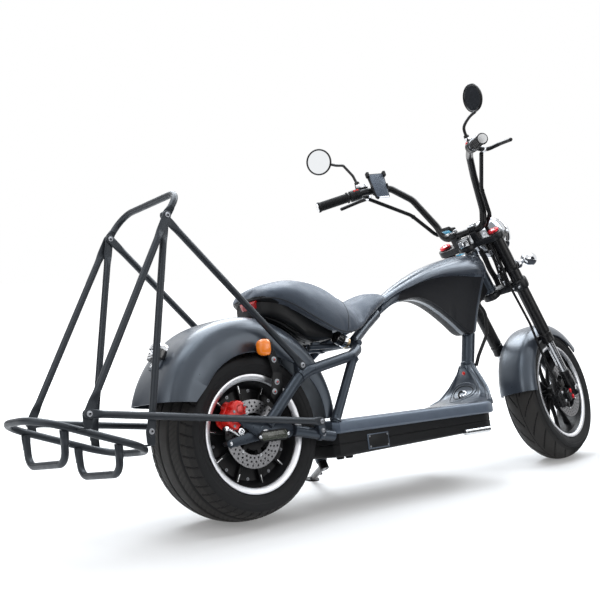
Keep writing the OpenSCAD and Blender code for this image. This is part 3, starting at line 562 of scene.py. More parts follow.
# footboard moulding: its colour is lifted well above the body paint to carry the lit rolled edge, partly its
# own tone and partly painted highlight
deckToneAndHighlight = finish("deckToneAndHighlight", (0.080, 0.099, 0.132), 0.36, grain=(1800, 0.0001), specular=0.8,
    sheen=0.45, shine=coolShine)
seatLeather = finish("seatLeather", (0.056, 0.066, 0.085), 0.46, grain=(420, 0.0003), cells=True, scale=25,
    shift=0.1, sheen=0.36, shine=coolShine)
pipingCord = finish("pipingCord", (0.020, 0.022, 0.026), 0.55, grain=(900, 0.0002))
blackPlastic = finish("blackPlastic", (0.008, 0.0085, 0.0095), 0.42, grain=(1500, 0.0001), specular=0.22)
glossBlack = finish("glossBlack", (0.008, 0.008, 0.009), 0.16, coat=0.4, shift=0.1)
forkBlack = finish("forkBlack", (0.008, 0.008, 0.009), 0.30, grain=(700, 0.00005), specular=0.28)
brightSteel = finish("brightSteel", (0.52, 0.53, 0.55), 0.28, 1.0, shift=0.08, scale=200, stretch=(1, 6, 1),
    spread=0.1)
boltSteel = finish("boltSteel", (0.27, 0.28, 0.30), 0.34, 1.0, shift=0.12, scale=200)
polishedAlloy = finish("polishedAlloy", (0.70, 0.71, 0.72), 0.2, 1.0, shift=0.05, scale=120)
lipAlloy = finish("lipAlloy", (0.88, 0.89, 0.92), 0.40, 1.0, shift=0.05, scale=90)
chrome = finish("chrome", (0.72, 0.74, 0.77), 0.06, 1.0, shift=0.04, spread=0.03)
yokeAlloy = finish("yokeAlloy", (0.011, 0.012, 0.014), 0.34, grain=(800, 0.00008), specular=0.3)
sliderSteel = finish("sliderSteel", (0.50, 0.51, 0.53), 0.24, 1.0, shift=0.06, stretch=(1, 1, 0.1),
    spread=0.06)
wheelBlack = finish("wheelBlack", (0.006, 0.006, 0.007), 0.36, grain=(900, 0.0001), specular=0.2)
discSteel = finish("discSteel", (0.25, 0.25, 0.26), 0.34, 1.0, shift=0.15, scale=300, spread=0.12)
tyreRubber = finish("tyreRubber", (0.015, 0.0153, 0.0165), 0.58, grain=(700, 0.0003), specular=0.18,
    shift=0.3, scale=30, stain=("dust", (0.042, 0.039, 0.036), 0.6))
gripRubber = finish("gripRubber", (0.008, 0.008, 0.009), 0.6, grain=(900, 0.0002), specular=0.2)
cableSheath = finish("cableSheath", (0.007, 0.007, 0.008), 0.42, grain=(1200, 0.0001), specular=0.22)
redPaint = finish("redPaint", (0.80, 0.022, 0.016), 0.3, coat=0.3, shift=0.08, grain=(500, 0.00008))
redAnodised = finish("redAnodised", (0.60, 0.018, 0.030), 0.25, 0.6, shift=0.06)
redLens = finish("redLens", (0.50, 0.012, 0.014), 0.18, coat=0.6, glow=0.05, grain=(260, 0.0006), cells=True)
amberLens = finish("amberLens", (0.95, 0.23, 0.010), 0.14, coat=0.7, glow=0.06, shift=0.1,
    grain=(300, 0.0005), cells=True)
smokeChrome = finish("smokeChrome", (0.26, 0.27, 0.29), 0.12, 1.0, shift=0.05)
clearLens = finish("clearLens", (0.80, 0.84, 0.88), 0.06, clear=0.6, coat=0.5, shift=0.03)
smokedLens = finish("smokedLens", (0.030, 0.036, 0.022), 0.12, coat=0.8, shift=0.5, scale=120,
    grain=(420, 0.0006), cells=True)
mirrorGlass = finish("mirrorGlass", (0.86, 0.88, 0.90), 0.03, 1.0, shift=0.02, spread=0.01)
blueGlass = finish("blueGlass", (0.10, 0.42, 0.62), 0.10, coat=0.7, glow=0.1, shift=0.25, scale=40)
goldSteel = finish("goldSteel", (0.60, 0.46, 0.28), 0.3, 1.0, shift=0.1)
print("finishes made", len(bpy.data.materials))

# backbone shell: stations are top (behind the front axle, height), crease and lower rim
# (behind the front axle, height, half width)
backboneStations = [
    (818, 626, 826, 604, 26, 856, 562, 24), (770, 652, 770, 634, 36, 800, 592, 28),
    (717, 678, 715, 652, 44, 740, 606, 30), (664, 700, 660, 671, 52, 680, 610, 30),
    (610, 720, 600, 686, 58, 620, 595, 30), (545, 739, 530, 697, 64, 560, 564, 30),
    (474, 755, 460, 701, 70, 500, 523, 30), (404, 766, 398, 702, 72, 450, 486, 30),
    (338, 768, 338, 704, 60, 412, 484, 28)]
backbone = {"valley": 5.0, "panelInset": 6.0, "rimDepth": 8.0, "steps": 8, "fadeIn": 14, "fadeOut": 5,
    "panelFrom": 12, "panelTo": 5, "panelRows": 10}


def backboneHalf(row, s):
    tb, tz, cb, cz, w, rb, rz, rw = row
    base = stance["frontAxle"][0]

    def mid(f, drop=0.0):
        return (base - (tb + (cb - tb) * f), tz + (cz - tz) * f - drop)

    def low(f):
        return (base - (cb + (rb - cb) * f), cz + (rz - cz) * f)
    side = max(w * 0.62, rw)
    ends = min(1.0, s["fade"])
    v, p = s["valley"] * ends, s["panelInset"] * ends
    depth = math.hypot(cb - rb, cz - rz)
    rim = min(0.3, s["rimDepth"] / depth)
    out = []

    def add(xz, y):
        out.append((xz[0], y, xz[1]))
    sides = [(1.0, 0), (1.0, rw * 0.55), (1 - rim * 0.06, rw * 0.92), (1 - rim * 0.45, rw + 5),
        (1 - rim * 0.85, rw + 4.2), (1 - rim, rw + 2), (1 - rim * 1.12, max(rw, side * 0.9) - p),
        (0.62, side - p), (0.36, w * 0.74 - p), (0.16, w * 0.86 - p), (0.105, w * 0.90 - p * 0.75),
        (0.075, w * 0.955), (0.03, w * 0.995), (0.0, w)]
    for share, y in sides:   # from the lower rim up to the crease
        add(low(share), y)
    tops = [(0.93, 0, 0.992), (0.75, 0, 0.95), (0.52, 0, 0.86), (0.34, 0, 0.72), (0.235, 0.4, 0.60),
        (0.19, 1, 0.53), (0.15, 0.75, 0.47), (0.085, 0.15, 0.42), (0.035, 0, 0.31), (0.008, 0, 0.15),
        (0.0, 0, 0.0)]
    for share, dip, wide in tops:   # from the crease over the valley to the spine
        add(mid(share, v * dip), w * wide)
    return out


def makeBackbone():
    rows = spline(backboneStations, backbone["steps"])
    rings, last = [], len(rows) - 1
    for i, r in enumerate(rows):
        fade = min(1.0, max(0.0, (i - 1) / backbone["fadeIn"]), (last - i) / backbone["fadeOut"])
        rings.append(whole(backboneHalf(r, dict(backbone, fade=fade))))

    def shrunk(ring, share, ahead):
        mid = Vector((sum(p[0] for p in ring) / len(ring), 0, sum(p[2] for p in ring) / len(ring)))
        return [mid + (Vector(p) - mid) * share + Vector((ahead, 0, 0)) for p in ring]
    # the front end is rounded over into a narrow closing strip, and the back is drawn in
    front, back = rings[-1], rings[0]
    rings += [shrunk(front, share, ahead) for ahead, share in ((3.5, 0.975), (6.0, 0.93), (7.0, 0.86))]
    rings.insert(0, shrunk(back, 0.8, -3))
    shape = loft(rings)
    n = len(rings[0])
    # the side panel under the crease, with the lower rim and underside, is a darker, coarser face: partly the
    # panel's own darker tone, partly painted shade
    panel = set(range(backbone["panelRows"]))
    panel |= set(n - 1 - k for k in panel)
    dark, light = [], []
    for f in shape[1]:
        ks, stations = [i % n for i in f], [i // n for i in f]
        inside = min(stations) > backbone["panelFrom"] and max(stations) < len(rings) - backbone["panelTo"]
        between = len(f) == 4 and inside
        isPanel = between and min(ks[0], ks[1]) in panel and abs(ks[0] - ks[1]) == 1
        (dark if isPanel else light).append(f)
    framePiece("backboneShell", [((shape[0], light), bodyShell), ((shape[0], dark), panelToneAndShade)],
        ["backbone"], sharp=28)


makeBackbone()
print("backbone made")

# head tube with its bearing cups, and the down tube with a collar
headTube = {"low": 470.0, "high": 634.0, "cup": 27.7, "radius": 25.4, "bore": 14.4}
cupLine = [(headTube["bore"], 0), (26, 0), (headTube["cup"], 1.5), (headTube["cup"], 14),
    (headTube["radius"], 16)]
profile = [(r, headTube["low"] + z) for r, z in cupLine]
profile += [(r, headTube["high"] - z) for r, z in cupLine[::-1]]
addPiece("headTube", "frame", headTubePlace @ turn("X", 90), [(turned(profile, 48, True), framePaint)],
    ["head_tube"])
gusset = plate([(1108, 752), (1132, 750), (1190, 652), (1184, 640), (1066, 545), (1096, 640)], -14, 14, 4)
framePiece("headGusset", [(gusset, blackPlastic)])
downTube = {"foot": (1018, 0, 352), "top": (1057, 0, 510), "radius": 22.5}
dFoot, dTop = Vector(downTube["foot"]), Vector(downTube["top"])
dDir = (dTop - dFoot).normalized()
dLow = dFoot + dDir * 20.5
collar = lathe(dLow, dDir, [(0, 0), (24.5, 0), (25.5, 2), (25.5, 11), (24, 13), (downTube["radius"], 14),
    (downTube["radius"], 119), (0, 119)], 40)
framePiece("downTube", [(collar, framePaint)], ["down_tube"])

# side tubes: the loops that run from the axle plates over the wheel to the backbone
loopTube = {"path": [(14, 138, 259), (145, 138, 382, 60), (186, 138, 398, 60), (362, 130, 431, 30),
    (402, 114, 448, 28), (422, 84, 477, 30), (502, 54, 521, 80), (596, 17, 566)], "radius": 15.8}
loopShape = tube(rounded(loopTube["path"], 10), loopTube["radius"], 28, nose=2)
clampBand = {"at": (150, 138, 384.2), "along": (0.9, 0, 0.43)}
band = lathe(clampBand["at"], clampBand["along"], [(15.9, -5), (17.8, -5), (18.6, -4), (18.6, 4), (17.8, 5),
    (15.9, 5)], 32)
framePiece("frameLoops", [(both(loopShape), framePaint)], ["frame_loops"])
seatTube = both(rod((262.5, 133.8, 240.5), (369, 132, 428), 14.2, nose=0.5))
weld = both(lathe((364, 132.2, 420), (0.492, -0.007, 0.87),
    [(14.2, -10), (15, -6), (16.4, -1), (18.5, 4), (14.2, 5)], 32))
foot = both(lathe((265.7, 133.7, 246.0), (0.492, 0, 0.87),
    [(14.2, 12), (15.2, 6), (17, 2), (18.6, 0), (14.2, -2)], 32))
framePiece("seatTubes", [(seatTube, framePaint), (weld, framePaint), (foot, framePaint)], ["seat_tubes"])
stay = {"rear": (103, 138, 234.5), "front": (246, 138, 204), "radius": 16.0}
stayShape = both(merge(rod(stay["rear"], stay["front"], stay["radius"], nose=2),
    lathe((196, 138, 214.7), (0.978, 0, -0.209), [(16, -7), (18.3, -7), (18.8, -6), (18.8, 6), (18.3, 7),
    (16, 7)], 32)))
lug = both(plate(strap((190, 222), (186, 250), 12), 139, 162.2, 1.5))
framePiece("lowerStays", [(stayShape, framePaint), (lug, framePaint)], ["lower_stays"])
axlePlate = merge(plate(strap((0, axleZ), (78, axleZ), 24, 22), 133, 143, 1.5),
    plate(strap((0, 244.5), (30, 274), 20, 16), 133.3, 142.7, 1.5))
boss = lathe((0, 143, axleZ), (0, 1, 0), [(9.9, -10), (9.9, 1.2), (19, 1.2), (20, 0), (20, -10)], 36)
arm = mirrored(plate(strap((0, axleZ), (-62, 278), 20, 17), 133.2, 142.8, 1.5))
framePiece("axlePlates", [(both(axlePlate), framePaint), (both(boss), framePaint), (arm, framePaint)],
    ["axle_plates"])
axleShape = both(merge(lathe((0, 92, axleZ), (0, 1, 0), [(0, 0), (14.8, 0), (14.8, 40.9), (0, 40.9)], 32),
    lathe((0, 120, axleZ), (0, 1, 0), [(0, 0), (9.9, 0), (9.9, 24.5), (8.5, 26.5), (0, 26.5)], 32)))
core = rod((0, -100, axleZ), (0, 100, axleZ), 9.6)
framePiece("rearAxle", [(axleShape, brightSteel), (core, brightSteel)], ["rear_axle"])
print("side tubes made")

# fenders: a rounded channel swept round the axle, with a rolled lip along its edges
rearFender = {"radius": 298.0, "half": 118.0, "corner": 62.0, "edge": 194.0, "thick": 3.0, "start": -3.0,
    "sweep": 179.0, "cut": 336.0, "at": (4.0, 0.0, 270.5), "slim": 0.45, "slimTo": 78.0}
fenderHub = bike @ at(*rearFender["at"])


def fenderLine(r, half, edge, corner, steps=9):
    out = [(edge, -half)]
    for k in range(steps + 1):
        a = math.radians(-90 + 90 * k / steps)
        out.append((r - corner + corner * math.cos(a), -half + corner + corner * math.sin(a)))
    out += [(r + 1.2 * (1 - (y / (half - corner)) ** 2), y)
        for y in [(half - corner) * t for t in (-0.6, -0.2, 0.2, 0.6)]]
    for k in range(steps + 1):
        a = math.radians(90 * k / steps)
        out.append((r - corner + corner * math.cos(a), half - corner + corner * math.sin(a)))
    return out + [(edge, half)]


def fenderShape(s, segments):
    line = fenderLine(s["radius"], s["half"], s["edge"], s["corner"])
    lip = 2.6

    def edgeRoll(side, y):
        return [(s["edge"] - lip * math.cos(a), y - side * (lip - lip * math.sin(a)))
                for a in (math.radians(t) for t in (60, 20, -20, -60))]
    inner = fenderLine(s["radius"] - s["thick"], s["half"] - s["thick"], s["edge"], s["corner"] - s["thick"])
    profile = line + edgeRoll(1, s["half"]) + inner[::-1] + edgeRoll(-1, -s["half"])[::-1]
    return turned(profile, segments, True, s["start"], s["sweep"])


# planes are (outward normal, point on it); only faces behind the limit are cut
def trimmed(shape, planes, limit):
    mesh = meshOf("cut", [(shape, fenderPaint)], Matrix.Identity(4), 35)
    bm = bmesh.new()
    bm.from_mesh(mesh)
    for norm, where in planes:
        behind = [f for f in bm.faces if f.calc_center_median().x < limit]
        rim = [e for f in behind for e in f.edges] + [v for f in behind for v in f.verts] + behind
        rim = list(dict.fromkeys(rim))   # each once, always in the same order
        got = bmesh.ops.bisect_plane(bm, geom=rim, plane_co=where, plane_no=Vector(norm).normalized(),
            clear_outer=True)
        edges = [e for e in got["geom_cut"] if isinstance(e, bmesh.types.BMEdge)]
        bmesh.ops.holes_fill(bm, edges=edges)
    bm.verts.index_update()
    out = [v.co.copy() for v in bm.verts], [tuple(v.index for v in f.verts) for f in bm.faces]
    bm.free()
    return out


tailLow = rearFender["cut"] - rearFender["at"][2]
tailCuts = [((-0.10, 0, -1), (-150, 0, tailLow)), ((0.35, 0, -0.94), (-202, 0, tailLow + 2)),
    ((0.7, 0, -0.71), (-197, 0, tailLow + 7))]


# the skirt gets shallower towards the front
def slimmed(shape, s):
    out = []
    for p in shape[0]:
        r, a = math.hypot(p[0], p[2]), math.degrees(math.atan2(p[2], p[0]))
        t = min(1.0, max(0.0, 1 - (a - s["start"]) / (s["slimTo"] - s["start"])))
        near = s["radius"] - (s["radius"] - r) * (1 - s["slim"] * t * t * (3 - 2 * t))
        out.append(Vector((p[0] * near / r, p[1], p[2] * near / r)))
    return out, shape[1]


fenderSolid = trimmed(slimmed(fenderShape(rearFender, 96), rearFender), tailCuts, -150)
addPiece("rearFender", "frame", fenderHub, [(fenderSolid, fenderPaint)], ["rear_fender"], sharp=40)
bracket = merge(plate(strap((70, 452), (82, 400), 15, 14), 118.3, 122.3, 1.2),
    plate([(98, 398), (66, 404), (50, 336), (72, 308), (92, 316)], 118.6, 122.6, 1.4))
bracketFoot = lathe((80, 118.3, 321), (0, 1, 0), [(0, 0), (9, 0), (10, 1), (9, 5.2), (0, 5.2)], 24)
framePiece("fenderBrackets", [(both(bracket), blackPlastic), (both(bracketFoot), framePaint)],
    ["fender_brackets"])
spots = [((x, s * 122.7, z), (0, s, 0)) for x, z in ((74, 437), (76, 374), (64, 348)) for s in (1, -1)]
addScrews("bracketScrews", "frame", bike, spots, boltSteel, 6.2, 3.2)
addScrews("bracketSockets", "frame", bike, [((p[0], p[1] * 1.02, p[2]), d) for p, d in spots], redPaint, 2.6,
    1.2, 6, 0.9)

# rear indicators: a ribbed amber lens on a short stalk
signal = {"at": (20, 118.2, 470), "middle": 39.0, "deep": 17.5, "tall": 23.5, "square": 0.75}
lensLine = ((-24, 0.02), (-23.4, 0.4), (-21, 0.66), (-16, 0.86), (-8, 0.98), (0, 1.0), (9, 0.97), (15, 0.86),
    (18, 0.7), (18.6, 0.4))
lensRings = [[Vector((x, signal["middle"] + signal["deep"] * k * bulged(math.cos(t), signal["square"]),
    signal["tall"] * k * bulged(math.sin(t), signal["square"]))) for t in angles(40)] for x, k in lensLine]
lensShape = both(placed(loft(lensRings), at(*signal["at"])))
stalk = both(placed(turned([(0, 0), (9, 0), (9, 2), (7, 3), (7, 24), (0, 24)], 28), at(*signal["at"])))
shoeRings = [[Vector((x, signal["middle"] + (p.y - signal["middle"]) * k, p.z * k)) for p in lensRings[6]]
             for x, k in ((8, 1.03), (12, 1.04), (17, 1.0), (19.5, 0.8))]
shoeRing = both(placed(loft(shoeRings), at(*signal["at"])))
framePiece("rearSignals", [(lensShape, amberLens), (stalk, blackPlastic), (shoeRing, blackPlastic)],
    ["rear_signals"], sharp=50)

# plate lamp on the fender's tail: bright dome over a black shoe with two screws
plateLamp = {"round": -137.0, "lift": 3.0, "tilt": 14.0}
lampPlace = (fenderHub @ turn("Y", plateLamp["round"]) @ at(rearFender["radius"] + plateLamp["lift"], 0, 0)
             @ turn("X", 180) @ turn("Y", plateLamp["tilt"]))
shoe = roundBox((0.2, -30, -42), (11, 30, 2), 4)
midBand = roundBox((2, -33, -18), (24, 33, 12), 5)
lampDome = []
for k in range(9):
    a = math.radians(90 * k / 8)
    w, d, lift = 34 * math.cos(a) ** 0.7 + 0.01, 22 * math.cos(a) ** 0.7 + 0.01, 6 + 30 * math.sin(a)
    lampDome.append([Vector((lift, w * math.cos(t), 14 + d * math.sin(t))) for t in angles(32)])
blades = merge(*[roundBox((22, -26, z), (25.5, 26, z + 4), 1.2) for z in (-14, -6)])
addPiece("plateLamp", "frame", lampPlace, [(shoe, fenderPaint), (loft(lampDome), chrome),
    (midBand, glossBlack), (blades, chrome)], ["plate_lamp"])
addScrews("plateLampScrews", "frame", lampPlace, [((11, s * 14, -31), (1, 0, -0.2)) for s in (1, -1)], chrome,
    5.2, 3.0)

# rear brake: a lobed red caliper with a bright hose fitting and two chrome nuts
rearBrake = {"at": (-78, 0, 296), "tilt": -54.0}
caliperPlace = bike @ at(*rearBrake["at"]) @ turn("Y", rearBrake["tilt"])
lobes = [(-39, -14), (-34, -22), (-20, -24), (-14, -18), (-6, -18), (0, -24), (18, -24), (24, -18), (34, -17),
    (39, -10), (39, 6), (34, 18), (26, 23), (10, 24), (5, 18), (-6, 18), (-11, 24), (-28, 23), (-36, 14),
    (-39, 4)]
outerHalf, innerHalf = plate(lobes, -133, -97, 5), plate(lobes, -79, -72, 2.5)
bridge = roundBox((-26, -99, 8), (26, -77, 23), 4)
pistons = merge(*[lathe((x, -133, 0), (0, -1, 0), [(0, -6), (15, -6), (15, -1), (13.5, 0.0), (9, 0),
    (8.4, -1.6), (0, -1.6)], 28) for x in (-17, 17)])
addPiece("rearCaliper", "frame", caliperPlace, [(outerHalf, redPaint), (innerHalf, redPaint),
    (bridge, redPaint), (pistons, redPaint)], ["rear_caliper"], sharp=40)
addScrews("caliperScrews", "frame", caliperPlace,
    [((x, -133.4, z), (0, -1, 0)) for x, z in ((-33, -6), (33, -6), (0, 14))], boltSteel, 3.2, 2.4, 6)
hosePath = spline([(-113, -118, 262), (-118, -128, 258), (-106, -133, 250), (-86, -131, 240),
    (-70, -128, 231), (-58, -122, 222)], 6)
fitting = tube(spline([(-117, -126, 262), (-106, -131, 256), (-95, -131, 250), (-86, -131, 243),
    (-80, -130, 239)], 5), 3.2, 14, 1)
banjo = lathe((-115, -122, 262), (0, -1, 0), [(0, -6), (7, -6), (7, 6), (5, 8), (0, 8)], 24)
framePiece("rearBrakeFitting", [(fitting, chrome), (banjo, chrome),
    (tube(hosePath[18:], 2.6, 12, 0.8), cableSheath)])
addScrews("caliperNuts", "frame", bike, [((-62, -133.4, 268), (0, -1, 0)), ((-72, -131, 249), (0, -1, 0)),
    ((-109, -128, 221), (0, -1, 0))], chrome, 8, 7, 6, 1.3)
nutPosts = merge(*[rod((x, -100, z), (x, -131, z), 6, 16) for x, z in ((-72, 249), (-109, 221))])
brace = plate(strap((0, axleZ), (-109, 221), 17, 11), -133, -125, 1.5)
framePiece("caliperCarrier", [(nutPosts, brightSteel), (brace, framePaint)])

# side reflectors: smoked hexagons with a clear rim and a screw at each end
hexagon = [(-32, 228), (-14, 244), (68, 244), (86, 229), (68, 213), (-14, 213)]
shield = both(plate(hexagon, 143.2, 147.2, 1.6))
lensPlate = both(plate(inset(hexagon, 4.5), 147.0, 149, 0.8))
framePiece("sideReflectors", [(shield, blackPlastic), (lensPlate, smokedLens)], ["side_reflectors"])
addScrews("reflectorScrews", "frame", bike, [((x, s * 148.4, 228.5), (0, s, 0)) for x in (-22, 75)
    for s in (1, -1)], chrome, 4.6, 2.6)
print("tail made")

# golf-bag rack: round tubes whose ends are pressed flat and bolted side by side
rack = {"tube": 9.5, "flatHalf": 12.0, "flatThick": 2.5, "press": 34.0, "half": 155.0}
rackTop, rackRear, rackFront = (-253, 833), (-535, 337), (-361, 278)
rackClampAt, strutFoot = (156, 414), (186, 250)


def lane(i):
    return rack["half"] + (i - 1.5) * 5.0 + 2.5


# one ring of a pressed tube: f is 0 round to 1 flat
def pressedRing(centre, across, out, f, width=None, sides=28):
    e = f * f * (3 - 2 * f)
    w = rack["tube"] + (rack["flatHalf"] - rack["tube"]) * e if width is None else width
    t = rack["tube"] + (rack["flatThick"] - rack["tube"]) * e
    power = 1 - 0.55 * e
    ring = []
    for a in angles(sides):
        ring.append(centre + across * w * bulged(math.cos(a), power) + out * t * bulged(math.sin(a), power))
    return ring


# the round end of a pressed tube: (distance past the bolt, flatness, half width), from the tip inwards
def roundEnd(radius):
    return [(-radius * t, 1.0, radius * math.sqrt(max(0.02, 1 - t * t))) for t in (1.0, 0.9, 0.7, 0.4, 0.0)]


def pressedTube(a, b, y, flatA, flatB):
    a, b = Vector((a[0], y, a[1])), Vector((b[0], y, b[1]))
    d, out = (b - a).normalized(), Vector((0, 1, 0))
    across = d.cross(out)
    length = (b - a).length
    stops = roundEnd(rack["flatHalf"])
    stops += [(flatA - rack["press"] * (1 - k / 8), 1 - k / 8, None) for k in range(9)]
    stops += [(length * 0.5, 0.0, None)]
    stops += [(length - flatB + rack["press"] * (k / 8), k / 8, None) for k in range(9)]
    stops += [(length - s, f, w) for s, f, w in roundEnd(rack["flatHalf"])[::-1]]
    return loft([pressedRing(a + d * s, across, out, f, w) for s, f, w in stops])


rackRuns = [("rackRearLegs", "rack_rear_legs", rackRear, rackTop, 2, 62, 78),
    ("rackFrontLegs", "rack_front_legs", rackFront, rackTop, 0, 56, 78),
    ("rackUpperStruts", "rack_upper_struts", rackClampAt, rackTop, -1, 44, 60),
    ("rackLowerStruts", "rack_lower_struts", rackRear, strutFoot, 3, 40, 40)]
for name, node, a, b, i, fa, fb in rackRuns:
    addPiece(name, "frame", bike, [(both(pressedTube(a, b, lane(i), fa, fb)), rackPaint)], [node], sharp=50)

uBar = {"foot": (-237, 155, 853), "top": (-200, 151, 903), "bend": 55.0}
uPath = rounded([uBar["foot"], uBar["top"] + (uBar["bend"],),
    (uBar["top"][0], -uBar["top"][1], uBar["top"][2], uBar["bend"]),
    (uBar["foot"][0], -uBar["foot"][1], uBar["foot"][2])], 12)
frames = pathFrames(uPath)
uRings = []
for i, p in enumerate(uPath):
    along = frames[i][0]
    across = along.cross(Vector((0.8, 0, -0.6))).normalized()
    uRings.append(circle(p, across, along.cross(across), rack["tube"], 24))
ends = []
for s in (1, -1):
    a, d = Vector((rackTop[0], s * lane(1), rackTop[1])), Vector((0.62, 0, 0.785)).normalized()
    stops = roundEnd(rack["flatHalf"]) + [(6 + 22 * k / 6, 1 - 0.8 * k / 6, None) for k in range(7)]
    across, out = Vector((-0.785, 0, 0.62)), Vector((0, 1, 0))
    ends.append(loft([pressedRing(a + d * q + out * s * 2.4 * (1 - f), across, out, f, w)
        for q, f, w in stops]))
framePiece("rackTopBar", [(loft(uRings), rackPaint), (merge(*ends), rackPaint)], ["rack_top_bar"], sharp=50)

ring = {"middle": (-487, 284), "tilt": 19.0, "length": 340.0, "half": 112.0, "corner": 85.0}
# hanging loops; a press row is height, flatness
loops = {"rows": ((-575, 226), (-432, 183)), "half": 106.0, "bend": 34.0,
    "press": ((-34, 0.0), (-26, 0.12), (-18, 0.42), (-10, 0.72), (-4, 0.85), (1, 0.9), (4, 0.9))}
corners = [(c * ring["length"] / 2, d * ring["half"], 0, ring["corner"])
    for c, d in ((1, 1), (-1, 1), (-1, -1), (1, -1))]
ringPath = rounded([(ring["length"] / 2, 0, 0)] + corners + [(ring["length"] / 2, 0, 0)], 12)[1:-1]
addPiece("rackRing", "frame", bike @ at(ring["middle"][0], 0, ring["middle"][1]) @ turn("Y", ring["tilt"]),
    [(tube(ringPath, rack["tube"], 24, closed=True), rackPaint)], ["rack_ring"])


def ringHeight(x):
    return ring["middle"][1] - (x - ring["middle"][0]) * math.tan(math.radians(ring["tilt"]))


loopParts = []
for x, z in loops["rows"]:
    top = ringHeight(x) - 11
    path = rounded([(x, loops["half"], top), (x, loops["half"] - 4, z, loops["bend"]),
        (x, 4 - loops["half"], z, loops["bend"]), (x, -loops["half"], top)], 10)
    out = Vector((1, 0, 0))
    rings = [pressedRing(p, f[0].cross(out).normalized(), out, 0.0) for p, f in zip(path, pathFrames(path))]
    for s, end in ((1, path[0]), (-1, path[-1])):
        loopParts.append(loft([pressedRing(Vector((x, end.y + s * 1.2, end.z + h)), out, Vector((0, 1, 0)), f)
                               for h, f in loops["press"]]))
    loopParts.append(loft(rings))
framePiece("rackLoops", [(merge(*loopParts), rackPaint)], ["rack_loops"], sharp=50)
earParts = []
for (x, z), i in ((rackRear, 1), (rackFront, -1)):
    y = lane(i) - 2.5
    earParts.append(plate(strap((x, z), (x, z - 24), 12), y, y + 5, 1.0))
    earParts.append(roundBox((x - 12, 121.8, z - 36), (x + 12, y + 2, z - 31), 1.2))
framePiece("rackEars", [(both(merge(*earParts)), rackPaint)], ["rack_ears"])
clampBox = both(roundBox((142, 120, 388), (170, 142.2, 426), 4))
framePiece("rackClamps", [(clampBox, framePaint), (both(band), framePaint)], ["rack_clamps"])

rackScrews, proud = [], rack["flatThick"] + 0.1
for (x, z), i in ((rackTop, 2), (rackRear, 3), (rackFront, 0), (rackClampAt, -1), (strutFoot, 3)):
    rackScrews += [((x, s * (lane(i) + proud), z), (0, s, 0)) for s in (1, -1)]
rackScrews += [((rackTop[0], s * (lane(-1) - proud), rackTop[1]), (0, -s, 0)) for s in (1, -1)]
addScrews("rackScrews", "frame", bike, rackScrews, boltSteel, 5.6, 3.8)
# small black hexes on the rack screw heads: painted shade for their socket holes
addScrews("rackSocketShade", "frame", bike, [((p[0], p[1] + d[1] * 3.3, p[2]), d) for p, d in rackScrews],
    blackPlastic, 2.6, 0.9, 6, 0.8)
tubeScrews = [((x, s * y, z), (0, s, 0)) for x, y, z in ((152, 142, 377), (196, 157.2, 214),
    (190, 162.4, 224)) for s in (1, -1)]
addScrews("tubeScrews", "frame", bike, tubeScrews, boltSteel, 5.0, 3.4)
print("rack made")

# seat: a pad swollen by cloth over its pan; stations are x, top below 675, lower edge, underside, width share
seatStations = [(88, -45, 618, 617, .26), (98, -31, 614, 612, .56), (120, -16, 610, 606, .76),
    (150, -6, 599, 597, .885), (190, 1, 573, 583, .96), (230, 1, 545, 562, .99), (280, -6, 515, 537, 1),
    (333, -23, 495, 516, .95), (391, -53, 492, 511, .88), (446, -74, 510, 528, .79),
    (500, -61, 543, 560, .70), (563, -40, 580, 597, .60), (605, -39, 600, 611, .47),
    (632, -51, 611, 614, .25)]
seat = {"half": 147.0, "top": 675.0, "slack": 4.0, "voxel": 0.005, "pressure": 4.0, "most": 0.006,
    "frames": 20, "weight": 0.3, "stiff": 18.0, "seam": (404.0, 46.0, 118.0), "seamHeight": 560.0,
    "edgeSlant": 40.0}


def seatRing(row, slack):
    x, t, e, u, w = row
    t, w = seat["top"] + t - slack, seat["half"] * w - slack
    e, u = e + slack * 0.5, u + slack * 0.3
    h = t - e
    half = [(0, u), (w * .74, u), (w * .9, e), (w * .985, e + h * .1), (w, e + h * .3), (w * .9, e + h * .62),
        (w * .68, e + h * .86), (w * .36, e + h * .97), (0, t)]
    fine = spline(half, 4)
    return whole([(x, p[0], p[1]) for p in fine])


def swellPad(mesh):
    obj = bpy.data.objects.new("swell", mesh)
    scene.collection.objects.link(obj)
    remesh = obj.modifiers.new("voxels", "REMESH")
    remesh.mode, remesh.voxel_size, remesh.use_smooth_shade = "VOXEL", seat["voxel"], True
    settle(obj)
    start = [v.co.copy() for v in obj.data.vertices]
    cloth = obj.modifiers.new("cloth", "CLOTH")
    c = cloth.settings
    c.use_pressure, c.uniform_pressure_force = True, seat["pressure"]
    c.effector_weights.gravity = 0
    c.quality, c.mass = 4, seat["weight"]
    c.tension_stiffness = c.compression_stiffness = seat["stiff"]
    cloth.point_cache.frame_start, cloth.point_cache.frame_end = 1, seat["frames"]
    for f in range(1, seat["frames"] + 1):
        scene.frame_set(f)
    settle(obj)
    scene.frame_set(1)
    for v, s in zip(obj.data.vertices, start):
        d = v.co - s
        if d.length > seat["most"]:
            v.co = s + d.normalized() * seat["most"]
    relax = obj.modifiers.new("relax", "SMOOTH")
    relax.factor, relax.iterations = 0.5, 6
    fine = obj.modifiers.new("fine", "SUBSURF")
    fine.levels = fine.render_levels = 1
    settle(obj)
    return obj


padShape = loft([seatRing(row, seat["slack"]) for row in spline(seatStations, 5)])
pad = swellPad(meshOf("seatPad", [(padShape, seatLeather)], bike, 180))
pad.name = "seatPad"
pad.data.materials.clear()
for cover in (seatLeather, blackPlastic):
    pad.data.materials.append(cover)
for f in pad.data.polygons:
    spot = toBike @ f.center
    f.use_smooth = True
    f.material_index = int(spot.x < 140 and spot.z < 680.4 - 0.55 * spot.x)   # the pan's shell wraps the tail


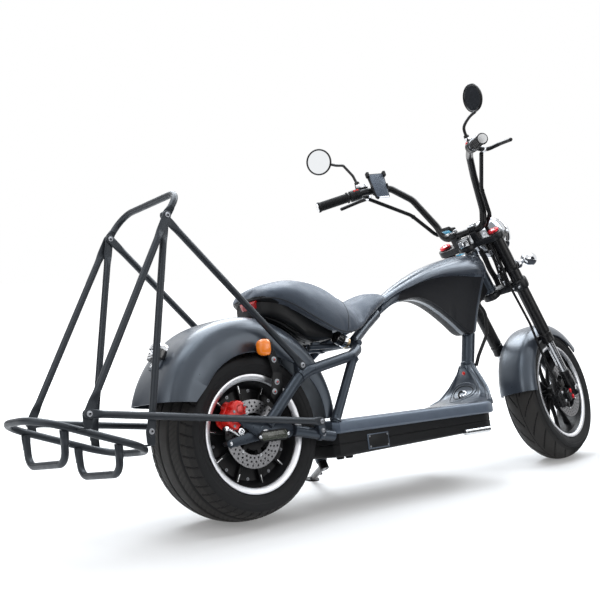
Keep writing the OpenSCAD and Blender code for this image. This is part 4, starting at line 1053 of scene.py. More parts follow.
# seam across the saddle, laid on the pad's real surface
def onPad(points):
    out = []
    for inside, outside in points:
        a, b = bike @ Vector(outside), bike @ Vector(inside)
        hit, where, norm, _ = pad.ray_cast(a, (b - a).normalized())
        if hit:
            out.append(toBike @ (where - norm * 0.0004))
    return out


bpy.context.view_layer.update()
seamPath, (seamX, seamBack, seamReach), seamZ = [], seat["seam"], seat["seamHeight"]
for t in [k / 30 for k in range(-30, 31)]:
    a = t * math.radians(seamReach)
    x = seamX - seamBack * abs(t) ** 1.4
    seamPath.append(((x, 0, seamZ), (x + 20 * (1 - abs(t)), 300 * math.sin(a), seamZ + 300 * math.cos(a))))
seamPoints = onPad(seamPath)
ridePiece(pad, "frame", ["seat_pad"])
edgeTubes, rimRows = [], spline(seatStations, 4)
for side in (1, -1):
    rows = []
    for i, (x, _, edge, under, _) in enumerate(rimRows):
        slant = -seat["edgeSlant"] if i <= 4 else (seat["edgeSlant"] if i >= len(rimRows) - 4 else 0)
        rows.append(((x, 0, (edge + under) / 2 + 10), (x + slant, side * 320, edge + 3)))
    edgeTubes.append(tube(onPad(rows), 2.0, 8, 1))
framePiece("seatPiping", [(tube(seamPoints, 1.7, 8, 0.8), pipingCord), (merge(*edgeTubes), pipingCord)],
    sharp=60)
print("seat made, seam points", len(seamPoints))

# pan under the pad, ribbed lengthways, with the tail lamp let into its rear
panStations = [(98, 566, 58, 612), (120, 560, 84, 606), (150, 546, 96, 597), (190, 524, 100, 583),
    (230, 494, 102, 562), (280, 484, 100, 537), (333, 486, 94, 516)]
panRings = []
for x, low, w, top in spline(panStations, 4):
    half = []
    for t in [k / 24 for k in range(25)]:
        ripple = 2.2 * (0.5 - 0.5 * math.cos(math.tau * 6 * t)) if 0.06 < t < 0.94 else 0
        half.append((x, w * 0.86 * t, low + ripple + 4 * t ** 4))
    half += [(x, w * 0.95, low + 7), (x, w, low + 14), (x, w * 0.995, (low + top) / 2),
        (x, w * 0.97, top - 0.8), (x, w * 0.6, top - 0.5), (x, 0, top - 0.5)]
    panRings.append(whole(half))
framePiece("seatPan", [(loft(panRings), blackPlastic)], ["seat_pan"], sharp=40)
lampTilt = at(98, -5, 605) @ turn("Y", -22)
lampShell = roundBox((-4, -36, -12), (8, 36, 12), 3, lampTilt)
lampLens = roundBox((-6.5, -33, -9), (-1, 33, 9), 2.4, lampTilt)
framePiece("tailLamp", [(lampShell, redLens), (lampLens, redLens)], ["tail_lamp"])
railPaths = [[(112, 58, 566), (150, 76, 545), (200, 84, 512), (262, 84, 486)],
    [(108, 26, 566), (150, 36, 548), (200, 40, 518), (262, 42, 486)]]
panStruts = both(merge(*[tube(spline(path, 5), 3.2, 10, 1) for path in railPaths]))
framePiece("panRails", [(panStruts, blackPlastic)])
armShape = both(merge(rod((258, 62, 470), (414, 62, 470), 8.5), roundBox((270, 56, 468), (300, 68, 484), 2),
    lathe((414, 62, 470), (0, 1, 0), [(9.5, -9), (12, -9), (12.6, -8), (12.6, 8), (12, 9), (9.5, 9)], 28)))
framePiece("seatArms", [(merge(armShape, rod((414, -120, 470), (414, 120, 470), 9.4)), framePaint)],
    ["seat_arms"])
shock = {"top": (342, 94, 493), "foot": (394, 94, 467), "spring": 15.6, "wire": 2.8, "turns": 4, "from": 15.0,
    "long": 19.0}
sTop, sFoot = Vector(shock["top"]), Vector(shock["foot"])
sDir = (sFoot - sTop).normalized()
bodyShape = lathe(tuple(sTop), tuple(sDir), [(0, 0), (15, 0), (18, 1.5), (18.6, 5), (18.6, 14), (16.5, 16),
    (11, 17), (11, 24), (18, 25), (19, 27), (19, 36), (16, 38), (11, 40), (11, 50), (8, 58), (0, 58)], 32)
a, b = sDir.orthogonal().normalized(), sDir.cross(sDir.orthogonal()).normalized()
coil = []
for t in [k / 60 for k in range(61)]:
    outward = a * math.cos(math.tau * shock["turns"] * t) + b * math.sin(math.tau * shock["turns"] * t)
    coil.append(sTop + sDir * (shock["from"] + shock["long"] * t) + outward * shock["spring"])
topCap = lathe(tuple(sTop), tuple(sDir), [(0, -2), (17, -2), (19.6, 0), (19.6, 17), (17, 19), (0, 19)], 32)
goldBand = lathe(tuple(sTop + sDir * 38), tuple(sDir), [(10, 0), (16, 0), (17, 1), (17, 8), (16, 9), (10, 9)],
    32)
framePiece("seatShocks", [(both(bodyShape), chrome), (both(tube(coil, shock["wire"], 10, 0.6)), blackPlastic),
    (both(topCap), glossBlack), (both(goldBand), goldSteel)], ["seat_shocks"])
print("seat carrier made")

# footboard: a moulded tray with a rolled edge and full front corners
deck = {"rear": 250.0, "front": 1010.0, "half": 150.0, "round": 100.0, "top": 246.0, "chamfer": 16.0,
    "edge": ((38, 9), (37, 4), (34.5, 1), (30, 0), (13, 0), (8, 0.7), (4, 2.6), (1.4, 5.8), (0, 10),
    (0.4, 14), (2.2, 18), (4.4, 21), (5, 25))}


def deckOutline(half, rear, front, radius, chamfer):
    cx, cy = front - radius, half - radius
    long = [(rear + chamfer + (cx - rear - chamfer) * k / 14, -half) for k in range(14)]
    corner = [(cx + radius * math.sin(a), -cy - radius * math.cos(a))
        for a in [math.pi * k / 36 for k in range(19)]]
    side = long + corner
    return side + [(x, -y) for x, y in side[::-1]] + [(rear, half - chamfer), (rear, 0),
        (rear, chamfer - half)]


deckLine = deckOutline(deck["half"], deck["rear"], deck["front"], deck["round"], deck["chamfer"])
deckRings = [[Vector((p[0], p[1], deck["top"] - drop)) for p in (inset(deckLine, ins) if ins else deckLine)]
    for drop, ins in deck["edge"]]
# the footboard's colour carries painted highlight on top of its own tone
framePiece("footboard", [(loft(deckRings), deckToneAndHighlight)], ["footboard"], sharp=40)
treads = {"first": 320.0, "pitch": 42.0, "wide": 28.0, "half": 112.0, "low": 240.4, "high": 242.4,
    "count": 12}
mats = merge(*[roundBox((x, -treads["half"], treads["low"]),
    (x + treads["wide"], treads["half"], treads["high"]), 0.8)
    for x in [treads["first"] + treads["pitch"] * k for k in range(treads["count"])]])
framePiece("deckTreads", [(mats, deckToneAndHighlight)])

# nose cover: flares from the collar down to the footboard, with an oval recess drawn as two rings, the inner
# one dark with painted shade, and a bag hook
# columns: height, face middle, rim ahead, rim half width, front
noseStations = [(237, 866, 955, 139.7, 1010.6), (243, 862, 955, 139.4, 1010.8), (247, 866, 956, 138, 1011.5),
    (250, 886, 961, 134, 1013), (254, 908, 968, 128, 1015), (261, 940, 980, 117, 1019),
    (272, 966, 990, 107, 1024), (285, 982, 999, 97, 1030), (300, 990, 1007, 84, 1036),
    (325, 996, 1014, 64, 1044), (348, 997, 1018, 45, 1048), (366, 995, 1021, 31, 1049),
    (377, 997, 1024, 27, 1051)]
nose = {"sides": 72, "rim": 10.0, "rimAt": 0.80, "rimWide": 0.12, "behind": 760.0, "hookZ": 279.0,
    "badgeZ": 350.0}


def noseRing(row):
    z, face, rimX, half, front = row
    out = []
    for a in angles(nose["sides"]):
        y = half * bulged(math.sin(a), 0.8)
        t = abs(y) / half
        if math.cos(a) >= 0:
            x = rimX + (front - rimX) * math.sqrt(max(0.0, 1 - t ** 2.4))
        else:
            roll = nose["rim"] * math.exp(-((t - nose["rimAt"]) / nose["rimWide"]) ** 2)
            x = rimX - (rimX - face) * (1 - t ** 3.2) - roll * math.sqrt(max(0.0, 1 - t ** 8))
        out.append(Vector((x, y, z)))
    return out


noseRows = spline(noseStations, 5)
noseCover = framePiece("noseCover", [(loft([noseRing(r) for r in noseRows]), bodyShell)], ["nose_cover"],
    sharp=40)
bpy.context.view_layer.update()


# points found on the nose from behind, given as (y, z) pairs
def onNose(pairs):
    ahead, out = (bike.to_3x3() @ Vector((1, 0, 0))).normalized(), []
    for y, z in pairs:
        hit, where, _, _ = noseCover.ray_cast(bike @ Vector((nose["behind"], y, z)) - ahead * 0.4, ahead)
        if hit:
            out.append(toBike @ where)
    return out


def noseOval(w, h, middle):
    return onNose([(w * math.sin(a), middle + h * math.cos(a)) for a in angles(48)])


rimPath, innerPath = noseOval(54, 30, 286), noseOval(42, 21, 285)
# the inner oval ring is painted shade for the recess
trim = [(tube(rimPath, 2.4, 8, closed=True), bodyShell), (tube(innerPath, 1.8, 8, closed=True), panelToneAndShade)]
dish = noseOval(17, 8, nose["hookZ"])
rimLine = spline([(r[2] - 1, r[3] - 5, r[0]) for r in noseStations[2:]], 4)
noseRim = both(tube(rimLine, 8.5, 16, 3))
badgeAt = onNose([(0, nose["badgeZ"])])[0]
badge = lathe(badgeAt, (-1, 0, 0.1), [(0, -2), (6.5, -2), (7.2, 0.4), (6, 1.6), (0, 1.9)], 28)
framePiece("noseTrim", trim + [(noseRim, bodyShell), (tube(dish, 3.4, 12, closed=True), chrome),
    (badge, redPaint)], sharp=60)
spot = onNose([(0, nose["hookZ"])])[0]
hookPath = spline([(spot.x + dx, 0, spot.z + dz)
    for dx, dz in ((2, 8), (-8, 9), (-17, 4), (-19, -5), (-15, -13))], 5)
framePiece("bagHook", [(tube(hookPath, 3.0, 14, 1.2), blackPlastic)])
print("footboard and nose made")

# battery box: a dark skirt under the footboard, its underside rising to the front, with a service plate
box = {"low": 140.0, "high": 208.0, "half": 132.0, "rise": 0.024, "from": 300.0,
    "edge": ((0, 8), (0.022, 3.5), (0.075, 0.6), (0.15, 0), (0.52, 0), (0.535, 1.8), (0.565, 1.8), (0.58, 0),
    (1, 0))}
boxLine = deckOutline(box["half"], 258, 996, 82, 14)


def boxPoint(p, share):
    low = box["low"] + box["rise"] * max(0.0, p[0] - box["from"])
    return Vector((p[0], p[1], low + (box["high"] - low) * share))


boxRings = [[boxPoint(p, share) for p in (inset(boxLine, ins) if ins else boxLine)]
    for share, ins in box["edge"]]
framePiece("batteryBox", [(loft(boxRings), blackPlastic)], ["battery_box"], sharp=35)
portLine = [(383, 150), (470, 150), (470, 195), (383, 195)]
portFrame = plate(portLine, -134.4, -130, 1.0)
portLid = plate(inset(portLine, 3.2), -135.6, -133, 0.8)
framePiece("servicePlate", [(portFrame, deckToneAndHighlight), (portLid, blackPlastic)])
addScrews("plateScrews", "frame", bike, [((x, -135.8, z), (0, -1, 0)) for x in (390, 463)
    for z in (157, 188)], boltSteel, 2.4, 1.5)
bumpLine = [(0, -3), (12, -3), (12, 5), (9, 8), (0, 8)]
bumps = both(merge(*[lathe((x, 96, box["low"]), (0, 0, -1), bumpLine, 24) for x in (300, 335)]))
framePiece("boxFeet", [(bumps, gripRubber)])
rail = {"x": 802.0, "length": 120.0, "y": 142.0, "z": 156.0}
railShape = both(merge(rod((rail["x"], rail["y"], rail["z"]),
    (rail["x"] + rail["length"], rail["y"], rail["z"]), 10, 28, 2),
    *[roundBox((rail["x"] + d, 131.6, 150), (rail["x"] + d + 10, 137, 162), 1.2) for d in (18, 92)]))
framePiece("sideRails", [(railShape, polishedAlloy)], ["side_rails"])
harness = {"path": [(1090.3, -16, 606), (1123, -30, 556, 50), (1108, -36, 480, 80), (1048, -34, 404, 50),
    (1034, -30, 371.6)], "radius": 6.0}
framePiece("harness", [(tube(rounded(harness["path"], 10), harness["radius"], 14, 1), cableSheath)],
    ["harness"])

# side stand, drawn upright and not leaning with the frame, because its foot lies flat on the road
stand = {"heel": (-11.5, 101.74, 5.0), "radius": 10.0}
eyePoint, eyeUp = Vector(joints["side_stand_fold"]["pos_m"]) * 1000, axisOf("side_stand_fold")
heel = Vector(stand["heel"])
eye = lathe(eyePoint - eyeUp * 26, eyeUp, [(6.4, 0), (14, 0), (15, 1), (15, 24.6), (14, 25.6), (6.4, 25.6)],
    36)
reach = (heel - eyePoint).normalized()
leg = rod(eyePoint - eyeUp * 14, heel - reach * 6, stand["radius"])
footPad = lathe((heel.x, heel.y, 0), (0, 0, 1), [(0, 0), (22.5, 0), (23.8, 1.2), (23.8, 5), (20, 7.6),
    (13, 10), (0, 13)], 40)
tabFoot = heel - reach * 58
tab = rod(tabFoot, tabFoot + Vector((20, -16, 4)), 4.5, 14)
addPiece("sideStand", "side_stand", mm, [(eye, forkBlack), (leg, forkBlack), (footPad, forkBlack),
    (tab, forkBlack)], ["side_stand"])
pivot, pivotUp = Vector((400, 108, 122)), Vector((0.041, 0.408, 0.911)).normalized()
knuckle = lathe(pivot, pivotUp, [(0, 0.2), (17, 0.2), (18, 1.2), (18, 26), (0, 26)], 36)
pin = lathe(pivot - pivotUp * 26, pivotUp, [(0, 0), (5.2, 0), (5.9, 0.8), (5.9, 28), (0, 28)], 24)
framePiece("standBracket", [(knuckle, framePaint), (pin, brightSteel)], ["stand_bracket"])
print("box, rails and stand made")

# tyres: turned sections with real grooves; the dust attribute browns the worn tread
rearTyre = {"radius": 238.5, "crown": 250.0, "width": 215.0, "rim": 166.0, "segments": 432, "depth": 4.5}
frontTyre = {"radius": 243.0, "crown": 75.0, "width": 130.0, "rim": 174.0, "segments": 360, "depth": 3.5}


def rearGroove(y, a):
    d = 0.0
    for c in (-62, -23, 23, 62):
        d = max(d, 1 - max(0.0, abs(y - c) - 2.2) / 1.6)
    side = abs(y)
    if side > 64:
        pitch = (math.degrees(a) + (side - 64) * 0.10 * (1 if y > 0 else -1)) % 7.5
        d = max(d, 0.8 if pitch < 0.95 else 0.0)
    elif 26 < side < 59:
        pitch = (math.degrees(a) + side * 0.16) % 3.75
        d = max(d, 0.3 if pitch < 0.85 else 0.0)
    return max(0.0, d)


def frontGroove(y, a):
    side = abs(y)
    turnBy = math.degrees(a) + (0 if y > 0 else 9) + side * 0.42
    near = turnBy % 18
    d = 1.0 if near < 1.4 and 8 < side < 52 else 0.0
    if abs(y) < 1.6:
        d = max(d, 0.6)
    return d


def tyreMesh(name, s, groove, place, body, node):
    r, c, w, rim = s["radius"], s["crown"], s["width"], s["rim"]

    def arc(y):
        return r - c + math.sqrt(max(0.0, c * c - y * y))
    shoulder = w * 0.42
    count = 64
    tread = [(arc(y), y) for y in [-shoulder + 2 * shoulder * k / count for k in range(count + 1)]]
    bulge = w / 2 * 0.995
    wall = spline([(arc(shoulder), shoulder), (arc(shoulder) - 7, shoulder + (bulge - shoulder) * 0.52),
        (r * 0.875, bulge * 0.99), (r * 0.825, bulge), (rim + 24, w * 0.492), (rim + 12, w * 0.478),
        (rim + 5, w * 0.462), (rim + 1.5, w * 0.447), (rim + 0.4, w * 0.43)], 3)[1:]
    for k in (10, 13):
        wall[k][1] += 0.7
    inner = [(rim + 0.4, w * 0.36), (rim + 16, w * 0.38), (r * 0.84, w * 0.44), (r - 18, w * 0.3)]
    profile = [(p[0], -p[1]) for p in wall[::-1]] + tread + [tuple(p) for p in wall] + inner + [(p[0], -p[1])
        for p in inner[::-1]]
    n, seg = len(profile), s["segments"]
    first = len(wall)
    points, dust = [], []
    for i in range(seg):
        a = math.tau * i / seg
        ca, sa = math.cos(a), math.sin(a)
        for k, (pr, py) in enumerate(profile):
            onTread = first - 4 <= k <= first + count + 4
            g = groove(py, a) if onTread else 0.0
            q = pr - g * s["depth"]
            points.append((q * ca, py, q * sa))
            fade = 1.0 if first + 2 <= k <= first + count - 2 else (0.5 if onTread else 0.0)
            dust.append(fade * (1 - min(1, g * 1.5)))
    faces = []
    for i in range(seg):
        p, q = i * n, ((i + 1) % seg) * n
        faces += [(p + k, p + (k + 1) % n, q + (k + 1) % n, q + k) for k in range(n)]
    mesh = bpy.data.meshes.new(name)
    mesh.from_pydata([place @ Vector(p) for p in points], [], faces)
    mark = mesh.attributes.new("dust", "FLOAT", "POINT")
    for i, d in enumerate(dust):
        mark.data[i].value = d
    mesh.materials.append(tyreRubber)
    closeMesh(mesh, 32)
    obj = bpy.data.objects.new(name, mesh)
    scene.collection.objects.link(obj)
    ridePiece(obj, body, [node])
    return obj


tyreMesh("rearTyre", rearTyre, rearGroove, rearHub, "rear_wheel", "rear_tyre")
tyreMesh("frontTyre", frontTyre, frontGroove, frontHub, "front_wheel", "front_tyre")
print("tyres made")

# rear wheel: polished lip, deep black dish with ribs whose edges are machined bright
rearWheel = {"ribs": 10, "ribPhase": 8, "studs": 10, "studRing": 122.0, "studPhase": 10.0}
lipRing = [(165.6, 86), (165.6, 96), (164.8, 98), (162.5, 98.6), (156, 97.4), (150.5, 94.6), (147.6, 91.4),
    (147, 88), (148.4, 86)]
barrel = [(10.4, -86), (10.4, 86), (40, 86), (44, 84), (46, 80), (46, 68), (50, 66), (118, 60), (127, 60.5),
    (131, 64), (146, 86), (150.6, 89), (151, 87), (165.4, 87), (165.4, -87), (151, -87), (150.6, -89),
    (146, -86), (131, -64), (127, -60.5), (118, -60), (50, -66), (46, -68), (46, -80), (44, -84), (40, -86)]
addPiece("rearWheel", "rear_wheel", rearHub, [(turned(barrel, 128, True), wheelBlack),
    (both(turned(lipRing, 128, True)), lipAlloy)], ["rear_wheel_hub"], sharp=30)
rib, ribFace = roundBox((52, 59, -5.5), (146, 73, 5.5), 2), roundBox((116, 72.4, -1.1), (147, 74, 1.1), 0.5)
for side, label in ((1, "Left"), (-1, "Right")):
    ribs = [shape if side > 0 else mirrored(shape) for shape in (rib, ribFace)]
    for name, shape, cover, slot in (("rearRibs", ribs[0], wheelBlack, "wheel_alloy"),
        ("rearRibFaces", ribs[1], polishedAlloy, "bright_steel")):
        aroundHub(name + label, "rear_wheel", rearHub, shape, rearWheel["ribs"], cover, rearWheel["ribPhase"])
    spots = ringSpots(rearWheel["studRing"], side * 61, rearWheel["studs"], rearWheel["studPhase"])
    addScrews("rearStuds" + label, "rear_wheel", rearHub, spots, boltSteel, 3.4, 2.8)
rearDisc = {"outer": 95.0, "inner": 58.0, "hole": 3.1, "rows": 3, "perRow": 30, "thick": 4.0}
addDisc("rearDisc", "rear_wheel", rearHub @ at(0, -88, 0), discSteel, ["rear_disc"], "brake_disc", **rearDisc)
carrierHub = turned([(22, -90), (44, -90), (45, -89), (45, -86.2), (22, -86.2)], 64, True)
addPiece("rearDiscCarrier", "rear_wheel", rearHub, [(carrierHub, wheelBlack)])
carrierArm = roundBox((42, -90, -7), (63, -86.2, 7), 1.5)
aroundHub("rearDiscArms", "rear_wheel", rearHub, carrierArm, 6, wheelBlack, 15)
addScrews("rearDiscScrews", "rear_wheel", rearHub, ringSpots(62, -90.4, 6, -15), brightSteel, 3.6, 2.4)

# front wheel: bright lip, ten black spokes in pairs, drilled disc on the right
frontWheel = {"spokes": 10, "spokePhase": 6, "spokeFrom": 27.0, "spokeLong": 127.0, "bow": 9.0}
frontLip = [(173.6, 50), (173.6, 58), (172.6, 59.8), (170, 60.2), (164, 58.6), (160.4, 55.4), (159.6, 52),
    (160.6, 49)]
frontRim = [(173.2, -51), (173.2, 51), (160.4, 51), (155, 43), (151.6, 40), (151.6, -40), (155, -43),
    (160.4, -51)]
frontHubShape = [(9.4, 52), (30, 52), (33.5, 50), (34, 46), (30, 30), (28, 0), (30, -46), (34, -58),
    (34, -68), (31, -71.5), (9.4, -71.5)]
addPiece("frontWheel", "front_wheel", frontHub, [(turned(frontRim, 128, True), wheelBlack),
    (both(turned(frontLip, 128, True)), lipAlloy), (turned(frontHubShape, 64, True), wheelBlack)],
    ["front_wheel_rim"], sharp=30)
spokeRings = []
for t in [k / 8 for k in range(9)]:
    flare = (2 * t - 1) ** 2
    x, bow = frontWheel["spokeFrom"] + frontWheel["spokeLong"] * t, frontWheel["bow"] * math.sin(math.pi * t)
    spokeRings.append([Vector((x, (7 + 5 * flare) * bulged(math.sin(a), 0.7),
        bow + (5.6 + 2.4 * flare) * bulged(math.cos(a), 0.7))) for a in angles(16)])
aroundHub("frontSpokes", "front_wheel", frontHub, loft(spokeRings), frontWheel["spokes"], wheelBlack,
    frontWheel["spokePhase"])
frontDisc = {"outer": 100.0, "inner": 66.0, "hole": 3.0, "rows": 3, "perRow": 34, "thick": 4.0}
addDisc("frontDisc", "front_wheel", frontHub @ at(0, -74, 0), discSteel, ["front_disc"], "brake_disc",
    **frontDisc)
addPiece("frontDiscCarrier", "front_wheel", frontHub,
    [(turned([(17.5, -76), (40, -76), (41, -75), (41, -72.2), (17.5, -72.2)], 64, True), wheelBlack)])
aroundHub("frontDiscArms", "front_wheel", frontHub, roundBox((38, -76, -6), (71, -72.2, 6), 1.5), 6,
    wheelBlack, 0)
addScrews("frontDiscScrews", "front_wheel", frontHub, ringSpots(69, -76.4, 6), brightSteel, 3.4, 2.4)
print("wheels made")

# fork in head millimetres: u ahead of the steering axis, y left, s up along it
legs = {"u": 40.0, "y": 102.0}
# plate thickness runs up the steering axis
upright = Matrix(((1, 0, 0, 0), (0, 0, 1, 0), (0, 1, 0, 0), (0, 0, 0, 1)))


def legTurn(profile, segments=40):
    return both(lathe((legs["u"], legs["y"], 0), (0, 0, 1), profile, segments))


tubeLine = [(0, 668), (19.5, 668), (21.6, 666.5), (22, 664), (22, 262), (22.6, 258), (22.6, 250), (21.4, 248),
    (21.4, 244), (23.2, 242), (23.2, 236), (22, 234), (22, 216), (23, 214), (23, 208), (21, 205.2),
    (0, 205.2)]
addPiece("forkTubes", "steering", head, [(legTurn(tubeLine), forkBlack)], ["fork_tubes"], sharp=30)
cap = [(0, 667), (20.5, 667), (21, 672.5), (19.4, 675.4), (13, 675.4), (12.2, 673), (0, 673)]
capTop = [(0, 671.6), (9.5, 671.6), (9, 675), (7.5, 675.8), (0, 675.8)]
addPiece("forkCaps", "steering", head, [(legTurn(cap), redAnodised), (legTurn(capTop, 6), polishedAlloy)])
addPiece("forkSliders", "steering", head, [(legTurn([(0, 205), (15, 205), (15, 80.2), (0, 80.2)]),
    sliderSteel)], ["fork_sliders"])
lowerLine = [(0, 80), (16.5, 80), (18.4, 78.5), (18.8, 75), (18.8, 66), (17.6, 63), (17.6, 40), (18.6, 34),
    (18.9, 20), (18.9, -16), (17, -21.5), (12, -23.8), (0, -24)]
pinch = both(roundBox((14, 94, -20), (26, 110, 14), 3))
addPiece("forkLowers", "steering", head, [(legTurn(lowerLine), forkBlack), (pinch, forkBlack)],
    ["fork_lowers"])
axleEnds = both(merge(lathe((legs["u"], 118, 0), (0, 1, 0),
    [(0, 0), (13, 0), (14, 1), (13, 5), (9, 7), (0, 7)], 6),
    lathe((legs["u"], 70, 0), (0, 1, 0), [(0, 0), (8.9, 0), (8.9, 54), (0, 54)], 24)))
addPiece("frontAxle", "steering", head, [(axleEnds, brightSteel),
    (rod((legs["u"], -80, 0), (legs["u"], 80, 0), 8.8), brightSteel)], ["front_axle"])

# yokes: clamped plates at both ends of the head tube, risers and a bright top nut
yoke = {"lows": (440.0, 640.0), "thick": 24.0}
yokeLine = strap((legs["u"], -legs["y"]), (legs["u"], legs["y"]), 30, 30, 16)
waist = [(-28, -12), (-22, -22), (-8, -29), (12, -32), (40, -34), (40, 34), (12, 32), (-8, 29), (-22, 22),
    (-28, 12)]
yokeParts = []
for low in yoke["lows"]:
    high = low + yoke["thick"]
    yokeParts += [placed(plate(yokeLine, low, high, 3), upright),
        placed(plate(waist, low + 1, high - 1, 3), upright)]
stem = lathe((0, 0, 0), (0, 0, 1), [(0, 441), (14, 441), (14, 664), (0, 664)], 32)
risers = both(roundBox((11, 27, 662), (45, 53, 699), 4))
caps = both(roundBox((11, 27, 701), (45, 53, 719), 6))
addPiece("yokes", "steering", head, [(merge(*yokeParts), yokeAlloy), (stem, brightSteel),
    (merge(risers, caps), yokeAlloy)], ["yokes"])
collars = legTurn([(22, 432), (27, 432), (29, 434), (30.4, 440), (30.4, 462), (29, 468), (27, 470),
    (22, 470)])
ears = both(roundBox((2, 84, 442), (14, 120, 462), 4))
addPiece("yokeClamps", "steering", head, [(collars, yokeAlloy), (ears, yokeAlloy)])
bolts = [((u, s * y, 719.4), (0, 0, 1)) for u in (16, 40) for y in (33, 47) for s in (1, -1)]
bolts += [((1.6, s * y, 452), (-1, 0, 0)) for y in (90, 114) for s in (1, -1)]
addScrews("yokeScrews", "steering", head, bolts, brightSteel, 4.2, 3.4)
nut = lathe((0, 0, 664), (0, 0, 1), [(0, 0), (15, 0), (16, 1), (15, 8), (11, 10), (0, 10)], 6)
addPiece("stemNut", "steering", head, [(nut, chrome)])
print("fork made")

# instruments on the upper yoke: key lock block with a bright face, and a small display to its left
lockPlace = head @ at(-14, -4, 664) @ turn("Z", 20)
block = roundBox((-20, -24, 0.4), (12, 22, 30), 4)
face = roundBox((-22.5, -19, 4), (-19.5, 16, 27), 1.2)
barrelLock = lathe((-22, -2, 15), (-1, 0, 0), [(0, 0), (8, 0), (8, 2), (6.6, 3), (6, 1.4), (0, 1.4)], 24)
key = roundBox((-34, -3.2, 13.8), (-22, -0.8, 16.2), 0.6)
keyHead = lathe((-38, -2, 15), (0, 1, 0), [(2.4, -1.4), (8, -1.4), (8.4, 0), (8, 1.4), (2.4, 1.4)], 24)
addPiece("keyLock", "steering", lockPlace, [(block, yokeAlloy), (face, polishedAlloy),
    (barrelLock, glossBlack), (key, chrome), (keyHead, chrome)], ["instruments"])
screenPlace = head @ at(18, 50, 736) @ turn("Z", -8) @ turn("Y", -38)
screen = [(roundBox((-8, -20, -13), (6, 20, 13), 4), blackPlastic),
    (roundBox((-9.2, -15, -9.5), (-7.2, 15, 9.5), 1), blueGlass)]
screen.append((rod((4, 0, 0), (22, -6, -34), 5), blackPlastic))
addPiece("display", "steering", screenPlace, screen)
gaugeAt, gaugeUp = (1062, -6, 763), (-0.30, -0.10, 0.95)
gauge = lathe(gaugeAt, gaugeUp, [(0, -4), (21, -4), (22, -2), (22.4, 3), (21, 6.2), (18.6, 7), (17.4, 5.2),
    (0, 5.2)], 40)
gaugeGlass = lathe(gaugeAt, gaugeUp, [(0, 4), (17.4, 4), (16, 6.2), (10, 7.6), (0, 8.2)], 40)
framePiece("chargeGauge", [(gauge, chrome), (gaugeGlass, blueGlass)])

# handlebar
barPath = [(1110, 82, 850, 30), (1104, 98, 905, 50), (1030, 132, 1014, 60), (960, 170, 1064, 45),
    (872.25, 224.45, 1059.5, 60), (741, 341, 1028)]
bar = {"radius": 12.5, "gripLength": 118.0, "inner": (866, 230, 1058)}
wholeBar = [(x[0], -x[1], *x[2:]) for x in barPath[::-1]] + barPath
addPiece("handlebar", "steering", fork, [(tube(rounded(wholeBar, 12), bar["radius"], 26, 1.5), forkBlack)],
    ["handlebar"])
barEnd, barInner = Vector(barPath[-1]), Vector(bar["inner"])
barDir = (barEnd - barInner).normalized()
gripStart = barEnd - barDir * (bar["gripLength"] - 4)
gripLine = [(12.9, 0), (20, 0), (20.6, 1.5), (20, 4), (17, 5.5)]
for k in range(18):
    a = 9 + k * 5.4
    gripLine += [(15.9, a), (16.9, a + 0.9), (16.9, a + 3.6), (15.9, a + 4.5)]
gripLine += [(17, 108), (18.6, 110), (19, 114), (17.5, 117), (13, 118), (0, 118)]
gripShape = lathe(gripStart, barDir, gripLine, 36)
barPlug = lathe(gripStart + barDir * 116, barDir, [(0, 0), (15, 0), (15.6, 1), (15, 3), (0, 3.6)], 28)
addPiece("grips", "steering", fork, [(both(gripShape), gripRubber), (both(barPlug), polishedAlloy)],
    ["grips"], sharp=40)


def onBar(t, profile):
    return lathe(barInner + barDir * t, barDir, profile, 32)


switchLine = [(12.8, 0), (19, 0), (20.5, 1.5), (20.8, 18), (19.4, 19), (19.4, 20.5), (20.8, 21.5), (20.5, 38),
    (19, 40), (12.8, 40)]
perch = rod(barInner + barDir * 22, (918, 246, 1054), 9, 20)
mirrorBoss = rod(barInner + barDir * 16, (850, 233, 1092), 8, 20)
addPiece("barControls", "steering", fork, [(both(onBar(8, switchLine)), blackPlastic),
    (both(perch), blackPlastic), (both(mirrorBoss), blackPlastic)], ["bar_controls"])
tank = []
for side in (-1, 1):
    base = Vector((889, side * 240, 1074))
    tank.append(roundBox((-17, -15, -9), (17, 15, 10), 4, at(*base) @ turn("Z", -side * 46) @ turn("Y", 6)))
lids = [lathe((889, 240, 1083), (-0.1, 0.05, 1), [(0, -4), (19, -4), (20.5, -2), (20.5, 9), (18, 13),
    (8, 14.5), (0, 14.5)], 28), lathe((853, 234, 1082), (-0.15, 0.05, 1),
    [(0, -7), (10, -7), (10.8, -6), (10.8, 5), (10, 6), (0, 6)], 6),
    lathe((921, 246, 1044), (0, 0, 1), [(0, 0), (9, 0), (10, 1), (10, 18), (9, 19), (0, 19)], 24)]
throttle = mirrored(onBar(50, [(12.8, 0), (18, 0), (19, 1), (19, 11), (18, 12), (12.8, 12)]))
buttons = merge(*[roundBox((-4, -3, -3), (4, 3, 3), 1.5,
    at(*(barInner + barDir * t + Vector((-13, -9, 12)))) @ turn("Z", -42)) for t in (16, 28)])
addPiece("brakeTanks", "steering", fork, [(merge(*tank), blackPlastic), (both(merge(*lids)), lipAlloy),
    (throttle, brightSteel), (both(buttons), redPaint)])
leverLine = rounded([(919.2, 246, 1054), (946, 249, 1056, 14), (940, 300, 1056, 40), (903, 358, 1043)], 8)
leverRings = []
for i, (p, (along, _, _)) in enumerate(zip(leverLine, pathFrames(leverLine))):
    t = i / (len(leverLine) - 1)
    flat = along.cross(Vector((0, 0, 1))).normalized()
    up = flat.cross(along)
    leverRings.append([p + flat * (6.4 - 1.2 * t) * math.cos(a) + up * (7.4 - 0.8 * t) * math.sin(a)
        for a in angles(16)])
leverTip = lathe(leverLine[-1], (-0.53, 0.81, -0.18), [(0, -7), (5, -5), (6.8, 0), (5, 5), (0, 7)], 20)
